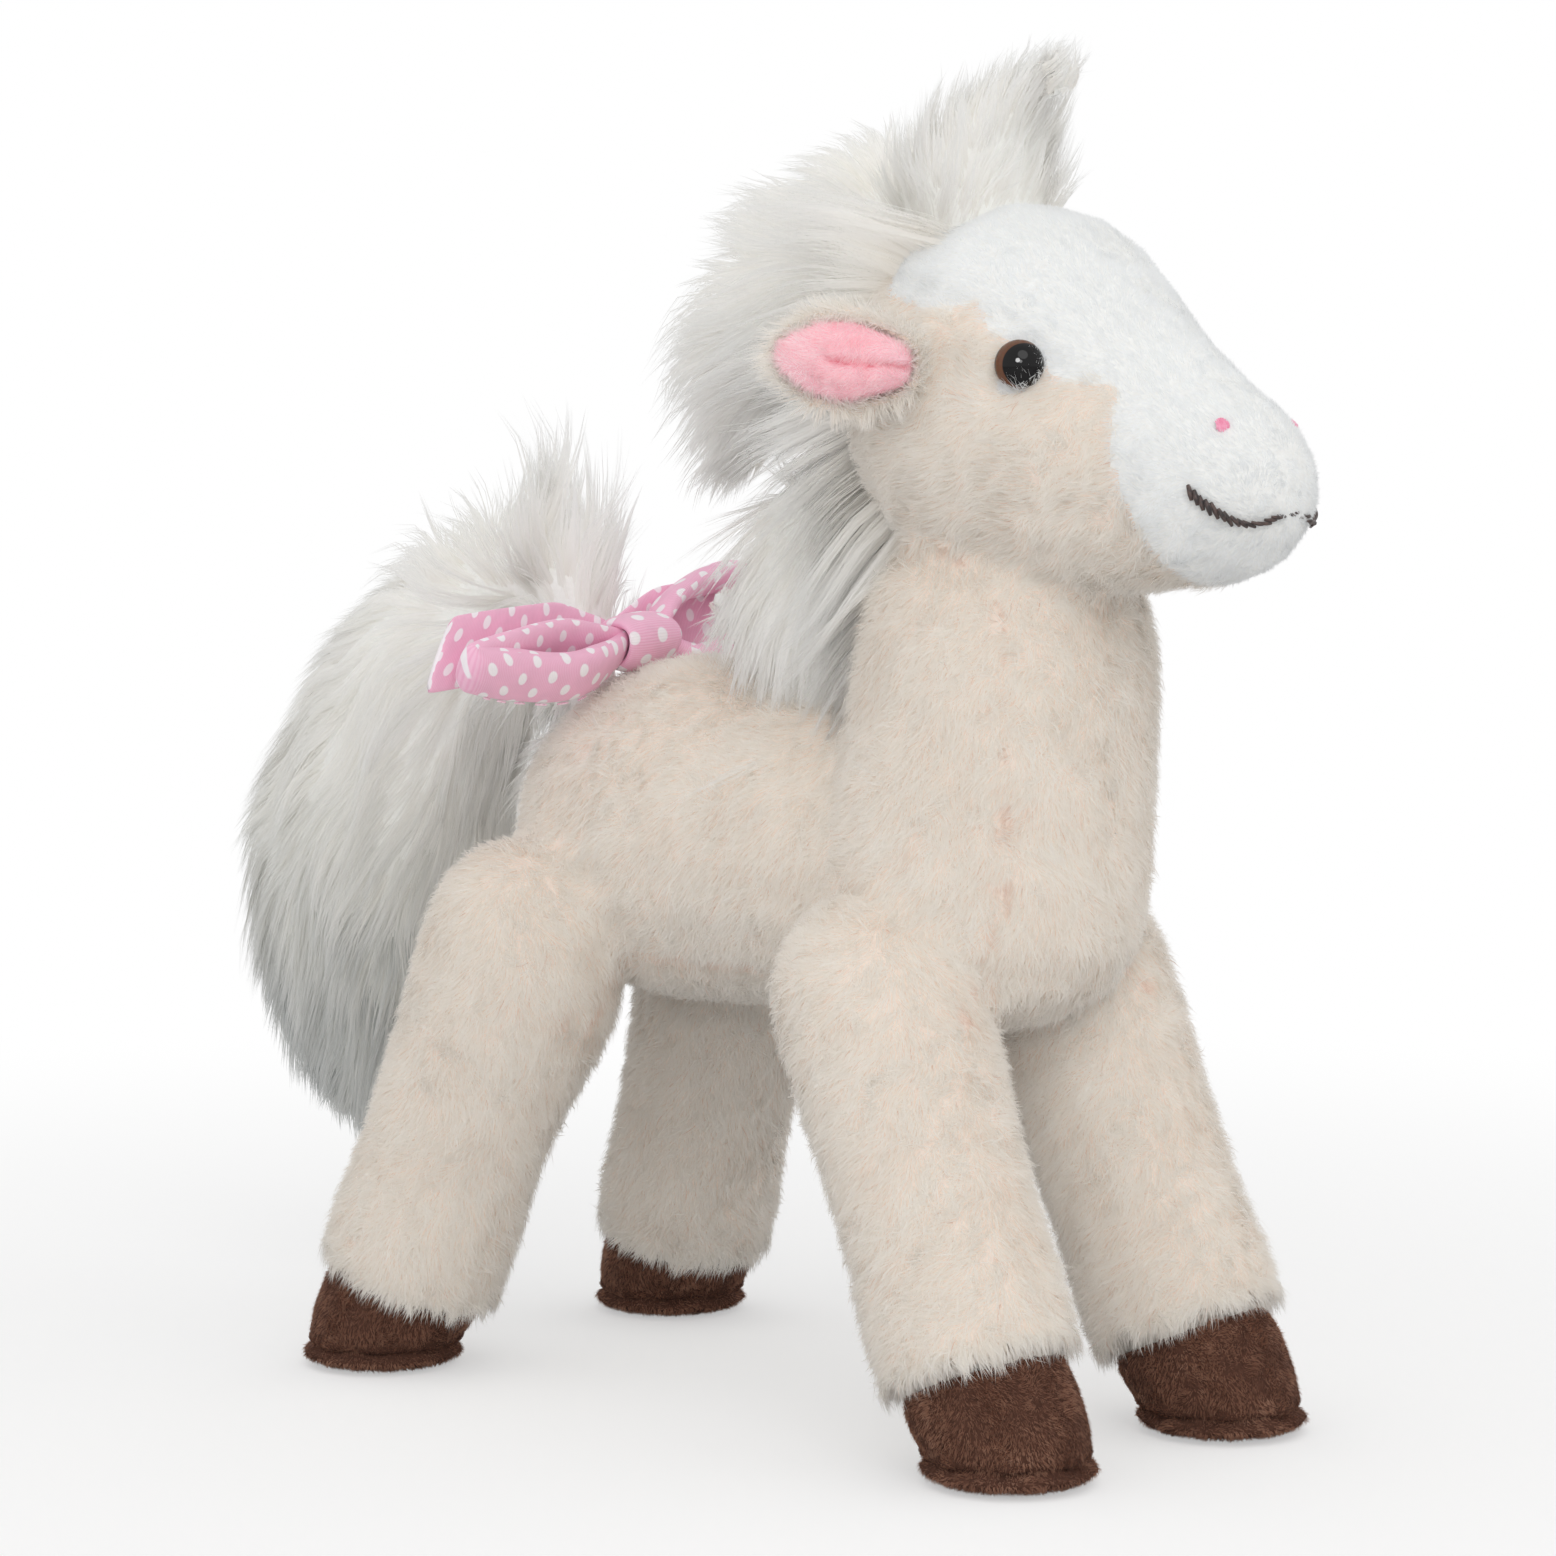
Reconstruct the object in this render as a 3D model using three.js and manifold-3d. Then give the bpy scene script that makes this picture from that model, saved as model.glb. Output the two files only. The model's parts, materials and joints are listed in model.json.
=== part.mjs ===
import * as THREE from 'three';
import { mergeVertices } from 'three/addons/utils/BufferGeometryUtils.js';
import Module from 'manifold-3d';

const wasm = await Module();
wasm.setup();

// A standing plush foal, in millimetres. It faces -Y, stands on Z = 0, and X = 0 is its plane of
// symmetry. A place is given as side (its left is +X), forward (-Y) and up (+Z). Forward is
// counted from the saddle, the middle of its back.

// Cloth, and the room that neighbouring pieces leave each other.
const SKIN = 1.6;
const SEAM_GAP = 0.35;
const CUT_OVERRUN = 14;

// Barrel of the trunk.
const RUMP_BACK = 76;
const BARREL_LENGTH = 142;
const BARREL_WIDTH = 67;
const BARREL_HEIGHT = 71;
const BELLY_UP = 80;

// Chest and neck, one column that ends in a ball inside the head.
const CHEST_FORWARD = 49;
const CHEST_UP = 80.5;
const CHEST_WIDTH = 68;
const CHEST_DEPTH = 69;
const NECK_RADIUS = 29.5;
const NOD_FORWARD = 54;
const NOD_UP = 158;
const GUSSET_WIDTH = 42;
const GUSSET_BELLY_UP = 94;

// Head, from the back of the skull to the tip of the muzzle.
const SKULL_BACK_FORWARD = 23;
const HEAD_LENGTH = 105;
const HEAD_WIDTH = 70;
const HEAD_HEIGHT = 77;
const JAW_UP = 167.5;

// Legs. A shoulder or hip is the centre of the ball that tops the leg.
const LEG_RADIUS = 22;
const SHOULDER = { side: 28, forward: 47, up: 89 };
const HIP = { side: 32, forward: -51, up: 94 };
const FRONT_FOOT = { side: 32, forward: 85 };
const REAR_FOOT = { side: 43, forward: -85 };
const HEM_UP = 20;
const HOOF_RADIUS = 17.6;
const SOLE_THICKNESS = 5;
const LEG_SWING = THREE.MathUtils.degToRad(12);

// Ears.
const EAR_LENGTH = 32;
const EAR_WIDTH = 24;
const EAR_THICKNESS = 7;
const EAR_SEAT = 2.3;
const EAR_LINING_LENGTH = 26.5;
const EAR_LINING_WIDTH = 15;
const EAR_LINING_THICKNESS = 3;
const EAR_OUTWARD = THREE.MathUtils.degToRad(32);
const EAR_RISE = THREE.MathUtils.degToRad(6);

// Eyes: a plastic dome on a stem, and the washer that locks it.
const EYE_RADIUS = 4.6;
const EYE_HEIGHT = 3.4;
const EYE_STEM_RADIUS = 1.7;
const EYE_STEM_LENGTH = 9;
const WASHER_RADIUS = 6;
const WASHER_THICKNESS = 1.4;

// Embroidery.
const NOSTRIL_RADIUS = 1.4;
const STITCH_THICKNESS = 1.2;
const MOUTH_UP = 188.5;
const MOUTH_DEPTH = 7;
const MOUTH_TURN = THREE.MathUtils.degToRad(69);

// Long-pile pieces, at the outline of their hair.
const CROWN_MANE_WIDTH = 46;
const CROWN_MANE_DEPTH = 48;
const CROWN_MANE_REACH = 86;
const NECK_MANE_WIDTH = 42;
const NECK_MANE_REACH = 62;
const NECK_MANE_TOP = 187;
const NECK_MANE_HEIGHT = 40;
const FORELOCK_FORWARD = 52;
const FORELOCK_WIDTH = 44;
const FORELOCK_DEPTH = 34;
const FORELOCK_HEIGHT = 40;
const TAIL_ROOT_RADIUS = 9;
const TAIL_ROOT_FORWARD = -66;
const TAIL_ROOT_UP = 142;
const TAIL_WIDTH = 62;
const TAIL_DEPTH = 74;
const TAIL_REACH = 96;
const TAIL_DROP = 104;

// Ribbon bow.
const RIBBON_WIDTH = 15;
const RIBBON_THICKNESS = 1.6;
const BOW_FORWARD = -43;
const KNOT_WIDTH = 14;
const KNOT_HEIGHT = 13;
const LOOP_LENGTH = 48;
const BOW_TILT = THREE.MathUtils.degToRad(5);
const LOOP_HEIGHT = 17;
const RIBBON_END_LENGTH = 46;

// Facets around the main forms and their inner walls, around the legs and theirs, around the
// small pieces, and on the clearance balls.
const AROUND = 18;
const AROUND_WITHIN = 10;
const AROUND_LEG = 14;
const AROUND_LEG_WITHIN = 8;
const AROUND_SMALL = 12;
const AROUND_RIBBON = 8;
const AROUND_STITCH = 6;
const BALL_AROUND = 16;
const BALL_ALONG = 8;

const CREAM = new THREE.MeshStandardMaterial({ color: 0xe6d8ca, roughness: 0.95 });
const WHITE = new THREE.MeshStandardMaterial({ color: 0xf2f0ec, roughness: 0.95 });
const HOOF_BROWN = new THREE.MeshStandardMaterial({ color: 0x624235, roughness: 0.9 });
const EAR_PINK = new THREE.MeshStandardMaterial({ color: 0xf7bcc4, roughness: 0.9 });
const BOW_PINK = new THREE.MeshStandardMaterial({ color: 0xe28cb8, roughness: 0.6 });
const EYE_BROWN = new THREE.MeshStandardMaterial({ color: 0x1a100c, roughness: 0.08 });
const WASHER_WHITE = new THREE.MeshStandardMaterial({ color: 0xdedede, roughness: 0.5 });
const STITCH_BROWN = new THREE.MeshStandardMaterial({ color: 0x3a2c2a, roughness: 0.8 });
const FIBRE = new THREE.MeshStandardMaterial({ color: 0xfafafa, roughness: 1 });

const SIDEWAYS = new THREE.Vector3(1, 0, 0);
const FORWARD = new THREE.Vector3(0, -1, 0);
const UP = new THREE.Vector3(0, 0, 1);
const DOWN = new THREE.Vector3(0, 0, -1);
const SIDES = [{ name: 'right', sign: -1 }, { name: 'left', sign: 1 }];

const place = (side, forward, up) => new THREE.Vector3(side, -forward, up);
const onSide = (point, sign) => place(point.side * sign, point.forward, point.up ?? 0);

// Manifold solids from closed geometries, and back.
function solid(geometry) {
  const bare = geometry.index ? geometry.toNonIndexed() : geometry.clone();
  bare.deleteAttribute('normal');
  bare.deleteAttribute('uv');
  const merged = mergeVertices(bare, 1e-4);
  const corners = new Float32Array(merged.attributes.position.array);
  return new wasm.Manifold(new wasm.Mesh({
    numProp: 3, vertProperties: corners, triVerts: new Uint32Array(merged.index.array),
  }));
}

function geometryOf(manifold) {
  const { vertProperties, triVerts } = manifold.getMesh();
  const geometry = new THREE.BufferGeometry();
  geometry.setAttribute('position', new THREE.BufferAttribute(vertProperties, 3));
  geometry.setIndex(Array.from(triVerts));
  geometry.computeVertexNormals();
  return geometry;
}

// A closed sweep through rings. Each ring has a centre, the way that it faces, and its half
// sizes across and deep; its across direction stays as near to the given side as it can.
function sweep(rings, around = AROUND, side = SIDEWAYS) {
  const corners = [];
  const faces = [];
  rings.forEach(({ centre, facing, across, deep }) => {
    const u = side.clone().addScaledVector(facing, -side.dot(facing)).normalize();
    const v = facing.clone().cross(u);
    for (let k = 0; k < around; k += 1) {
      const turn = (2 * Math.PI * k) / around;
      const corner = centre.clone().addScaledVector(u, across * Math.cos(turn));
      corner.addScaledVector(v, deep * Math.sin(turn));
      corners.push(...corner.toArray());
    }
  });
  const last = rings.length - 1;
  const startPole = rings.length * around;
  corners.push(...rings[0].centre.toArray(), ...rings[last].centre.toArray());
  for (let k = 0; k < around; k += 1) {
    const next = (k + 1) % around;
    for (let i = 0; i < last; i += 1) {
      const here = i * around;
      const above = here + around;
      faces.push(here + k, here + next, above + next, here + k, above + next, above + k);
    }
    faces.push(startPole, next, k);
    faces.push(startPole + 1, last * around + k, last * around + next);
  }
  const geometry = new THREE.BufferGeometry();
  geometry.setAttribute('position', new THREE.Float32BufferAttribute(corners, 3));
  geometry.setIndex(faces);
  return solid(geometry);
}

// Rings of a ball about a centre, from its first pole towards the way that it faces. They stop
// where the ball is as wide as its limit.
function domeRings(centre, facing, radius, limit = radius, count = 5) {
  const widest = Math.asin(Math.min(1, limit / radius));
  return Array.from({ length: count }, (_, i) => {
    const angle = (widest * (i + 0.35)) / (count - 0.65);
    const wide = radius * Math.sin(angle);
    return {
      centre: centre.clone().addScaledVector(facing, -radius * Math.cos(angle)),
      facing, across: wide, deep: wide,
    };
  });
}

// A ball that keeps clear of another of the given radius, flats of its facets included.
function clearanceBall(centre, radius) {
  const flats = Math.cos(Math.PI / BALL_AROUND) * Math.cos(Math.PI / (2 * BALL_ALONG));
  const ball = new THREE.SphereGeometry(radius / flats, BALL_AROUND, BALL_ALONG);
  ball.translate(centre.x, centre.y, centre.z);
  return solid(ball);
}

// A slab cut from a side-view outline, given as [forward, up] pairs, across the whole width
// between two sides.
function sideSlab(outline, fromSide, toSide) {
  const shape = new THREE.Shape(outline.map(([forward, up]) => new THREE.Vector2(forward, up)));
  const slab = new THREE.ExtrudeGeometry(shape, { depth: toSide - fromSide, bevelEnabled: false });
  const basis = new THREE.Matrix4().makeBasis(FORWARD, UP, SIDEWAYS.clone().negate());
  slab.applyMatrix4(basis);
  slab.translate(toSide, 0, 0);
  return solid(slab);
}

// The barrel of the trunk, with its cloth taken off by the inset. Shares run along its length,
// and give half width, half height and the rise of its middle.
const barrelShares = [
  [0, 0.1, 0.1, -0.02], [0.025, 0.42, 0.42, -0.02], [0.09, 0.72, 0.74, -0.01],
  [0.2, 0.93, 0.95, 0.005],
  [0.34, 1, 1, 0], [0.5, 0.97, 0.965, -0.015], [0.66, 0.98, 0.955, -0.02], [0.82, 0.9, 0.9, -0.02],
  [0.94, 0.66, 0.66, -0.02], [1, 0.3, 0.3, -0.02],
];
function barrel(inset, around = AROUND) {
  const middleUp = BELLY_UP + BARREL_HEIGHT / 2;
  const rings = barrelShares.map(([along, wide, high, rise]) => ({
    centre: place(
      0, inset - RUMP_BACK + along * (BARREL_LENGTH - 2 * inset), middleUp + rise * BARREL_HEIGHT,
    ),
    facing: FORWARD,
    across: wide * (BARREL_WIDTH / 2 - inset),
    deep: high * (BARREL_HEIGHT / 2 - inset),
  }));
  return sweep(rings, around);
}

// The chest and neck. Shares run up from the breast to the nod joint, and give half width, half
// depth, and how far the middle has moved from the chest to the nod joint.
const neckShares = [
  [0, 0.3, 0.3, -0.6], [0.03, 0.58, 0.58, -0.5], [0.11, 0.82, 0.83, -0.3], [0.24, 0.96, 0.97, -0.1],
  [0.42, 1, 1, 0.05], [0.62, 0.955, 0.96, 0.35], [0.8, 0.9, 0.9, 0.75],
];
function neck(inset, around = AROUND) {
  const rings = neckShares.map(([rise, wide, deep, shift]) => ({
    centre: place(
      0,
      CHEST_FORWARD + shift * (NOD_FORWARD - CHEST_FORWARD),
      CHEST_UP + inset + rise * (NOD_UP - CHEST_UP - inset),
    ),
    facing: UP,
    across: wide * (CHEST_WIDTH / 2 - inset),
    deep: deep * (CHEST_DEPTH / 2 - inset),
  }));
  const joint = place(0, NOD_FORWARD, NOD_UP);
  const dome = domeRings(joint, UP, NECK_RADIUS - inset).reverse().map((ring) => ({
    ...ring, centre: joint.clone().multiplyScalar(2).sub(ring.centre),
  }));
  return sweep([...rings, ...dome], around);
}

// The opening left in a ball's cloth for its stuffing.
const openingShare = 0.45;
function opening(centre, facing, radius, around) {
  const wide = openingShare * radius;
  return sweep([0, radius + CUT_OVERRUN].map((away) => ({
    centre: centre.clone().addScaledVector(facing, away), facing, across: wide, deep: wide,
  })), around, FORWARD);
}

// The head. Shares run from the back of the skull to the tip of the muzzle, and give half width,
// the up of the jaw line and the up of the top line.
const headShares = [
  [0, 0.12, 0.44, 0.56], [0.03, 0.4, 0.3, 0.72], [0.11, 0.74, 0.13, 0.87],
  [0.23, 0.94, 0.02, 0.965],
  [0.37, 1, 0, 1], [0.5, 0.93, 0, 0.955], [0.62, 0.765, 0.005, 0.805], [0.72, 0.62, 0.015, 0.655],
  [0.82, 0.57, 0.02, 0.545], [0.91, 0.47, 0.06, 0.47], [0.97, 0.3, 0.14, 0.385],
  [1, 0.12, 0.21, 0.31],
];
function head(inset, around = AROUND) {
  const rings = headShares.map(([along, wide, low, high]) => {
    const bottom = JAW_UP + inset + low * (HEAD_HEIGHT - 2 * inset);
    const top = JAW_UP + inset + high * (HEAD_HEIGHT - 2 * inset);
    return {
      centre: place(
        0, SKULL_BACK_FORWARD + inset + along * (HEAD_LENGTH - 2 * inset), (top + bottom) / 2,
      ),
      facing: FORWARD,
      across: wide * (HEAD_WIDTH / 2 - inset),
      deep: (top - bottom) / 2,
    };
  });
  return sweep(rings, around);
}

// The course of one leg: from the ball at its top to its hem, then bent upright into the hoof.
function legCourse(top, foot, sign) {
  const joint = onSide(top, sign);
  const ground = onSide(foot, sign);
  const bend = (top.up - HEM_UP) / (top.up - SOLE_THICKNESS / 2);
  const hem = joint.clone().lerp(ground, bend).setZ(HEM_UP);
  const facing = hem.clone().sub(joint).normalize();
  return { joint, hem, ground, facing, length: hem.distanceTo(joint) };
}

// Shares of a leg's length below its joint, and of its ball's radius: it narrows to the middle and
// swells again over the hoof.
const legShares = [[0.15, 0.99], [0.4, 0.935], [0.65, 0.915], [0.86, 0.955], [1, 0.93]];
function legRings(course, inset) {
  return legShares.map(([along, wide]) => {
    const radius = wide * LEG_RADIUS - inset;
    return {
      centre: course.joint.clone().addScaledVector(course.facing, along * course.length),
      facing: course.facing, across: radius, deep: radius,
    };
  });
}

// Shares of the hoof's height from hem to sole, and of its radius.
const hoofShares = [[0, 0.93], [0.3, 1], [0.65, 1.01], [1, 0.96]];
function hoofRings(course, inset, startGap, endGap) {
  const start = course.hem.clone().addScaledVector(course.facing, startGap);
  const end = course.ground.clone().setZ(SOLE_THICKNESS + endGap);
  return hoofShares.map(([along, wide]) => {
    const radius = wide * HOOF_RADIUS - inset;
    return {
      centre: start.clone().lerp(end, along),
      facing: course.facing.clone().lerp(DOWN, along).normalize(),
      across: radius, deep: radius,
    };
  });
}

// Room for a leg to swing below its ball.
function swingRoom(course) {
  const flats = Math.cos(Math.PI / AROUND_SMALL);
  const clear = (LEG_RADIUS + SEAM_GAP) / flats;
  const reach = LEG_RADIUS + CUT_OVERRUN;
  const rings = [0, reach].map((down) => ({
    centre: course.joint.clone().addScaledVector(course.facing, down),
    facing: course.facing,
    across: clear,
    deep: clear / Math.cos(LEG_SWING) + down * Math.tan(LEG_SWING),
  }));
  return sweep(rings, AROUND_SMALL);
}

const LEGS = [
  { name: 'front_leg', hoof: 'front_hoof', top: SHOULDER, foot: FRONT_FOOT },
  { name: 'rear_leg', hoof: 'rear_hoof', top: HIP, foot: REAR_FOOT },
].flatMap((leg) => SIDES.map(({ name, sign }) => ({
  leg: `${leg.name}_${name}`,
  hoof: `${leg.hoof}_${name}`,
  course: legCourse(leg.top, leg.foot, sign),
})));

const horse = new THREE.Group();

function piece(name, manifold, material, group = horse) {
  const mesh = new THREE.Mesh(geometryOf(manifold), material);
  mesh.name = name;
  group.add(mesh);
  return mesh;
}

// Trunk: its cloth cut by the four leg balls, the tail root and the flat of the nod ball.
const nodJoint = place(0, NOD_FORWARD, NOD_UP);
const tailRoot = place(0, TAIL_ROOT_FORWARD, TAIL_ROOT_UP);
const trunkOuter = barrel(0).add(neck(0));
const trunkClear = barrel(-SEAM_GAP).add(neck(-SEAM_GAP));
const headOuter = head(0);
const headClear = head(-SEAM_GAP);

const trunkCuts = LEGS.map(({ course }) => (
  clearanceBall(course.joint, LEG_RADIUS + SEAM_GAP).add(swingRoom(course))
)).concat(clearanceBall(tailRoot, TAIL_ROOT_RADIUS + SEAM_GAP));
const cutTrunk = (form) => trunkCuts.reduce((left, cut) => left.subtract(cut), form);

const trunkRoom = barrel(SKIN, AROUND_WITHIN).add(neck(SKIN, AROUND_WITHIN))
  .add(opening(nodJoint, UP, NECK_RADIUS, AROUND_WITHIN));
const trunkCloth = cutTrunk(trunkOuter.subtract(trunkRoom));
const fillingInset = SKIN + SEAM_GAP;
const trunkFilling = cutTrunk(
  barrel(fillingInset, AROUND_WITHIN).add(neck(fillingInset, AROUND_WITHIN)),
);

// The chest and belly panel lies between the two side panels, in front of the neck and below
// the flanks.
function gussetZone(grow) {
  const frontForward = CHEST_FORWARD + CHEST_DEPTH;
  const half = GUSSET_WIDTH / 2 + grow;
  const crease = NOD_FORWARD - grow;
  const rearEnd = -RUMP_BACK + CUT_OVERRUN - grow;
  const outline = [
    [crease, NOD_UP + NECK_RADIUS + CUT_OVERRUN], [crease, GUSSET_BELLY_UP + grow],
    [rearEnd, GUSSET_BELLY_UP + grow], [rearEnd, BELLY_UP - CUT_OVERRUN],
    [frontForward, BELLY_UP - CUT_OVERRUN], [frontForward, NOD_UP + NECK_RADIUS + CUT_OVERRUN],
  ];
  return sideSlab(outline, -half, half);
}

// One side of the symmetry plane, short of it by half a gap.
function sideHalf(sign) {
  const reach = BARREL_LENGTH + HEAD_LENGTH;
  const top = 2 * NOD_UP;
  const outline = [[-reach, -CUT_OVERRUN], [reach, -CUT_OVERRUN], [reach, top], [-reach, top]];
  const inner = SEAM_GAP / 2;
  const outer = BARREL_WIDTH + CUT_OVERRUN;
  return sign > 0 ? sideSlab(outline, inner, outer) : sideSlab(outline, -outer, -inner);
}

const sidePanels = trunkCloth.subtract(gussetZone(SEAM_GAP));
SIDES.forEach(({ name, sign }) => {
  piece(`side_panel_${name}`, sidePanels.intersect(sideHalf(sign)), CREAM);
});
piece('chest_panel', trunkCloth.intersect(gussetZone(0)), CREAM);
piece('trunk_filling', trunkFilling, FIBRE);

// Head: its cloth and filling, cut by the neck's ball.
const neckBall = clearanceBall(nodJoint, NECK_RADIUS + SEAM_GAP);

// Things on the head are seated by a line of sight from a point inside it.
const headSurface = new THREE.Mesh(geometryOf(headOuter));
function seatOnHead(from, towards) {
  const reach = HEAD_LENGTH + HEAD_WIDTH;
  const away = towards.clone().normalize();
  const outside = from.clone().addScaledVector(away, reach);
  const line = new THREE.Raycaster(outside, away.clone().negate());
  const hit = line.intersectObject(headSurface)[0];
  return { point: hit.point, normal: hit.face.normal.clone() };
}

// A place in the plane of symmetry, in shares of head length and height.
const withinHead = ({ forward, up }) => place(
  0, SKULL_BACK_FORWARD + forward * HEAD_LENGTH, JAW_UP + up * HEAD_HEIGHT,
);

// The eyes are found halfway between forward and sideways, a share of the head's height up, and
// look out between that way and the cloth's own.
const eyeFromShares = { forward: 0.305, up: 0.57 };
const eyes = SIDES.map(({ name, sign }) => {
  const towards = place(sign, 1, 0).normalize();
  const { point, normal } = seatOnHead(withinHead(eyeFromShares), towards);
  return { name, look: normal.add(towards).normalize(), seat: point };
});

// A lathe about a line of sight: its profile is [radius, distance along the look] pairs.
function turned(profile, seat, look, around = AROUND_SMALL) {
  const outline = profile.map(([radius, along]) => new THREE.Vector2(radius, along));
  const lathe = new THREE.LatheGeometry(outline, around);
  const axis = new THREE.Vector3(0, 1, 0);
  lathe.applyQuaternion(new THREE.Quaternion().setFromUnitVectors(axis, look));
  lathe.translate(seat.x, seat.y, seat.z);
  return solid(lathe);
}

// A round bar along a look, from one distance to another.
const bar = (radius, from, to, seat, look) => turned(
  [[0, from], [radius, from], [radius, to], [0, to]], seat, look,
);

// The dome's foot is pulled into a dent in the cloth; its stem goes through the cloth and the
// washer.
const domeShares = [[1, 0], [0.96, 0.35], [0.78, 0.7], [0.45, 0.93], [0, 1]];
const eyeFoot = SEAM_GAP;
const washerFace = -SKIN * 2;
const washerBack = washerFace - WASHER_THICKNESS;
let headCloth = headOuter.subtract(head(SKIN, AROUND_WITHIN)).subtract(neckBall);
let headFilling = head(fillingInset, AROUND_WITHIN).subtract(neckBall);
eyes.forEach(({ name, look, seat }) => {
  const dome = domeShares.map(([wide, high]) => [wide * EYE_RADIUS, eyeFoot + high * EYE_HEIGHT]);
  const profile = [
    [0, -EYE_STEM_LENGTH], [EYE_STEM_RADIUS, -EYE_STEM_LENGTH], [EYE_STEM_RADIUS, eyeFoot], ...dome,
  ];
  piece(`eye_${name}`, turned(profile, seat, look), EYE_BROWN);
  const washerHole = EYE_STEM_RADIUS + SEAM_GAP;
  const ring = [
    [washerHole, washerFace], [washerHole, washerBack], [WASHER_RADIUS, washerBack],
    [WASHER_RADIUS, washerFace], [washerHole, washerFace],
  ];
  piece(`eye_washer_${name}`, turned(ring, seat, look), WASHER_WHITE);
  headCloth = headCloth.subtract(bar(washerHole, -EYE_STEM_LENGTH, EYE_HEIGHT, seat, look));
  headCloth = headCloth.subtract(bar(EYE_RADIUS + SEAM_GAP, 0, EYE_STEM_LENGTH, seat, look));
  const washerRoom = WASHER_RADIUS + SEAM_GAP;
  const within = -EYE_STEM_LENGTH - SEAM_GAP;
  headCloth = headCloth.subtract(bar(washerRoom, within, washerFace + SEAM_GAP, seat, look));
  headFilling = headFilling.subtract(bar(washerRoom, within, EYE_HEIGHT, seat, look));
});

// The white face panel covers the muzzle and the top of the head above the eyes; the two cheeks
// are below and behind it. Shares of head length and height.
const faceEdgeShares = [
  [0.12, 1.3], [0.14, 0.86], [0.38, 0.79], [0.56, 0.69], [0.72, 0.5], [0.735, 0.3],
  [0.79, 0.06], [0.86, -0.2],
];
function faceZone(grow) {
  const edge = faceEdgeShares.map(([along, rise]) => [
    SKULL_BACK_FORWARD + along * HEAD_LENGTH - grow, JAW_UP + rise * HEAD_HEIGHT - grow,
  ]);
  const front = SKULL_BACK_FORWARD + HEAD_LENGTH + CUT_OVERRUN;
  const outline = [...edge, [front, edge.at(-1)[1]], [front, edge[0][1]]];
  return sideSlab(outline, -HEAD_WIDTH, HEAD_WIDTH);
}
piece('face_panel', headCloth.intersect(faceZone(0)), WHITE);
const cheeks = headCloth.subtract(faceZone(SEAM_GAP));
SIDES.forEach(({ name, sign }) => {
  piece(`cheek_${name}`, cheeks.intersect(sideHalf(sign)), CREAM);
});
piece('head_filling', headFilling, FIBRE);

// Ears: a leaf that points back and out from the side of the head, with the lining let into its
// outer face. Shares of length, and of half width and half thickness.
const earShares = [
  [0, 0.3, 0.4], [0.05, 0.5, 0.75], [0.2, 0.72, 1], [0.45, 1, 1], [0.7, 0.88, 0.85],
  [0.9, 0.52, 0.6], [1, 0.16, 0.25],
];
const earFromShares = { forward: 0.415, up: 0.56 };
function leaf(root, along, across, length, halfWidth, halfThickness) {
  const rings = earShares.map(([out, wide, thick]) => ({
    centre: root.clone().addScaledVector(along, out * length),
    facing: along, across: wide * halfWidth, deep: thick * halfThickness,
  }));
  return sweep(rings, AROUND_SMALL, across);
}
SIDES.forEach(({ name, sign }) => {
  const { point } = seatOnHead(withinHead(earFromShares), place(sign, 0, 0));
  const along = place(
    sign * Math.sin(EAR_OUTWARD), -Math.cos(EAR_OUTWARD), Math.sin(EAR_RISE),
  ).normalize();
  const face = new THREE.Vector3().crossVectors(along, UP).multiplyScalar(sign).normalize();
  const across = new THREE.Vector3().crossVectors(face, along).normalize();
  const root = point.clone().add(place(sign * EAR_SEAT, 0, 0));
  const back = leaf(root, along, across, EAR_LENGTH, EAR_WIDTH / 2, EAR_THICKNESS / 2);
  const liningRoot = root.clone().addScaledVector(along, (EAR_LENGTH - EAR_LINING_LENGTH) / 2);
  liningRoot.addScaledVector(face, EAR_THICKNESS / 2 - EAR_LINING_THICKNESS / 2);
  const liningHalf = [EAR_LINING_WIDTH / 2, EAR_LINING_THICKNESS / 2 + SKIN / 2];
  const lining = leaf(liningRoot, along, across, EAR_LINING_LENGTH, ...liningHalf);
  const pocket = leaf(
    liningRoot.clone().addScaledVector(along, -SEAM_GAP), along, across,
    EAR_LINING_LENGTH + 2 * SEAM_GAP, liningHalf[0] + SEAM_GAP, liningHalf[1] + SEAM_GAP,
  );
  piece(`ear_back_${name}`, back.subtract(pocket), CREAM);
  piece(`ear_lining_${name}`, lining, EAR_PINK);
});

// Nostrils: satin-stitch dots on the upper sides of the muzzle, seen from a point inside it.
const muzzleFromShares = { forward: 0.78, up: 0.28 };
const nostrilLookShares = { side: 0.62, forward: 0.75, up: 0.62 };
SIDES.forEach(({ name, sign }) => {
  const { side, forward, up } = nostrilLookShares;
  const { point, normal } = seatOnHead(withinHead(muzzleFromShares), place(sign * side, forward, up));
  const dot = domeShares.map(([wide, high]) => [
    wide * NOSTRIL_RADIUS, SEAM_GAP + high * STITCH_THICKNESS,
  ]);
  piece(`nostril_${name}`, turned([[0, SEAM_GAP], ...dot], point, normal), EAR_PINK);
});

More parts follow.
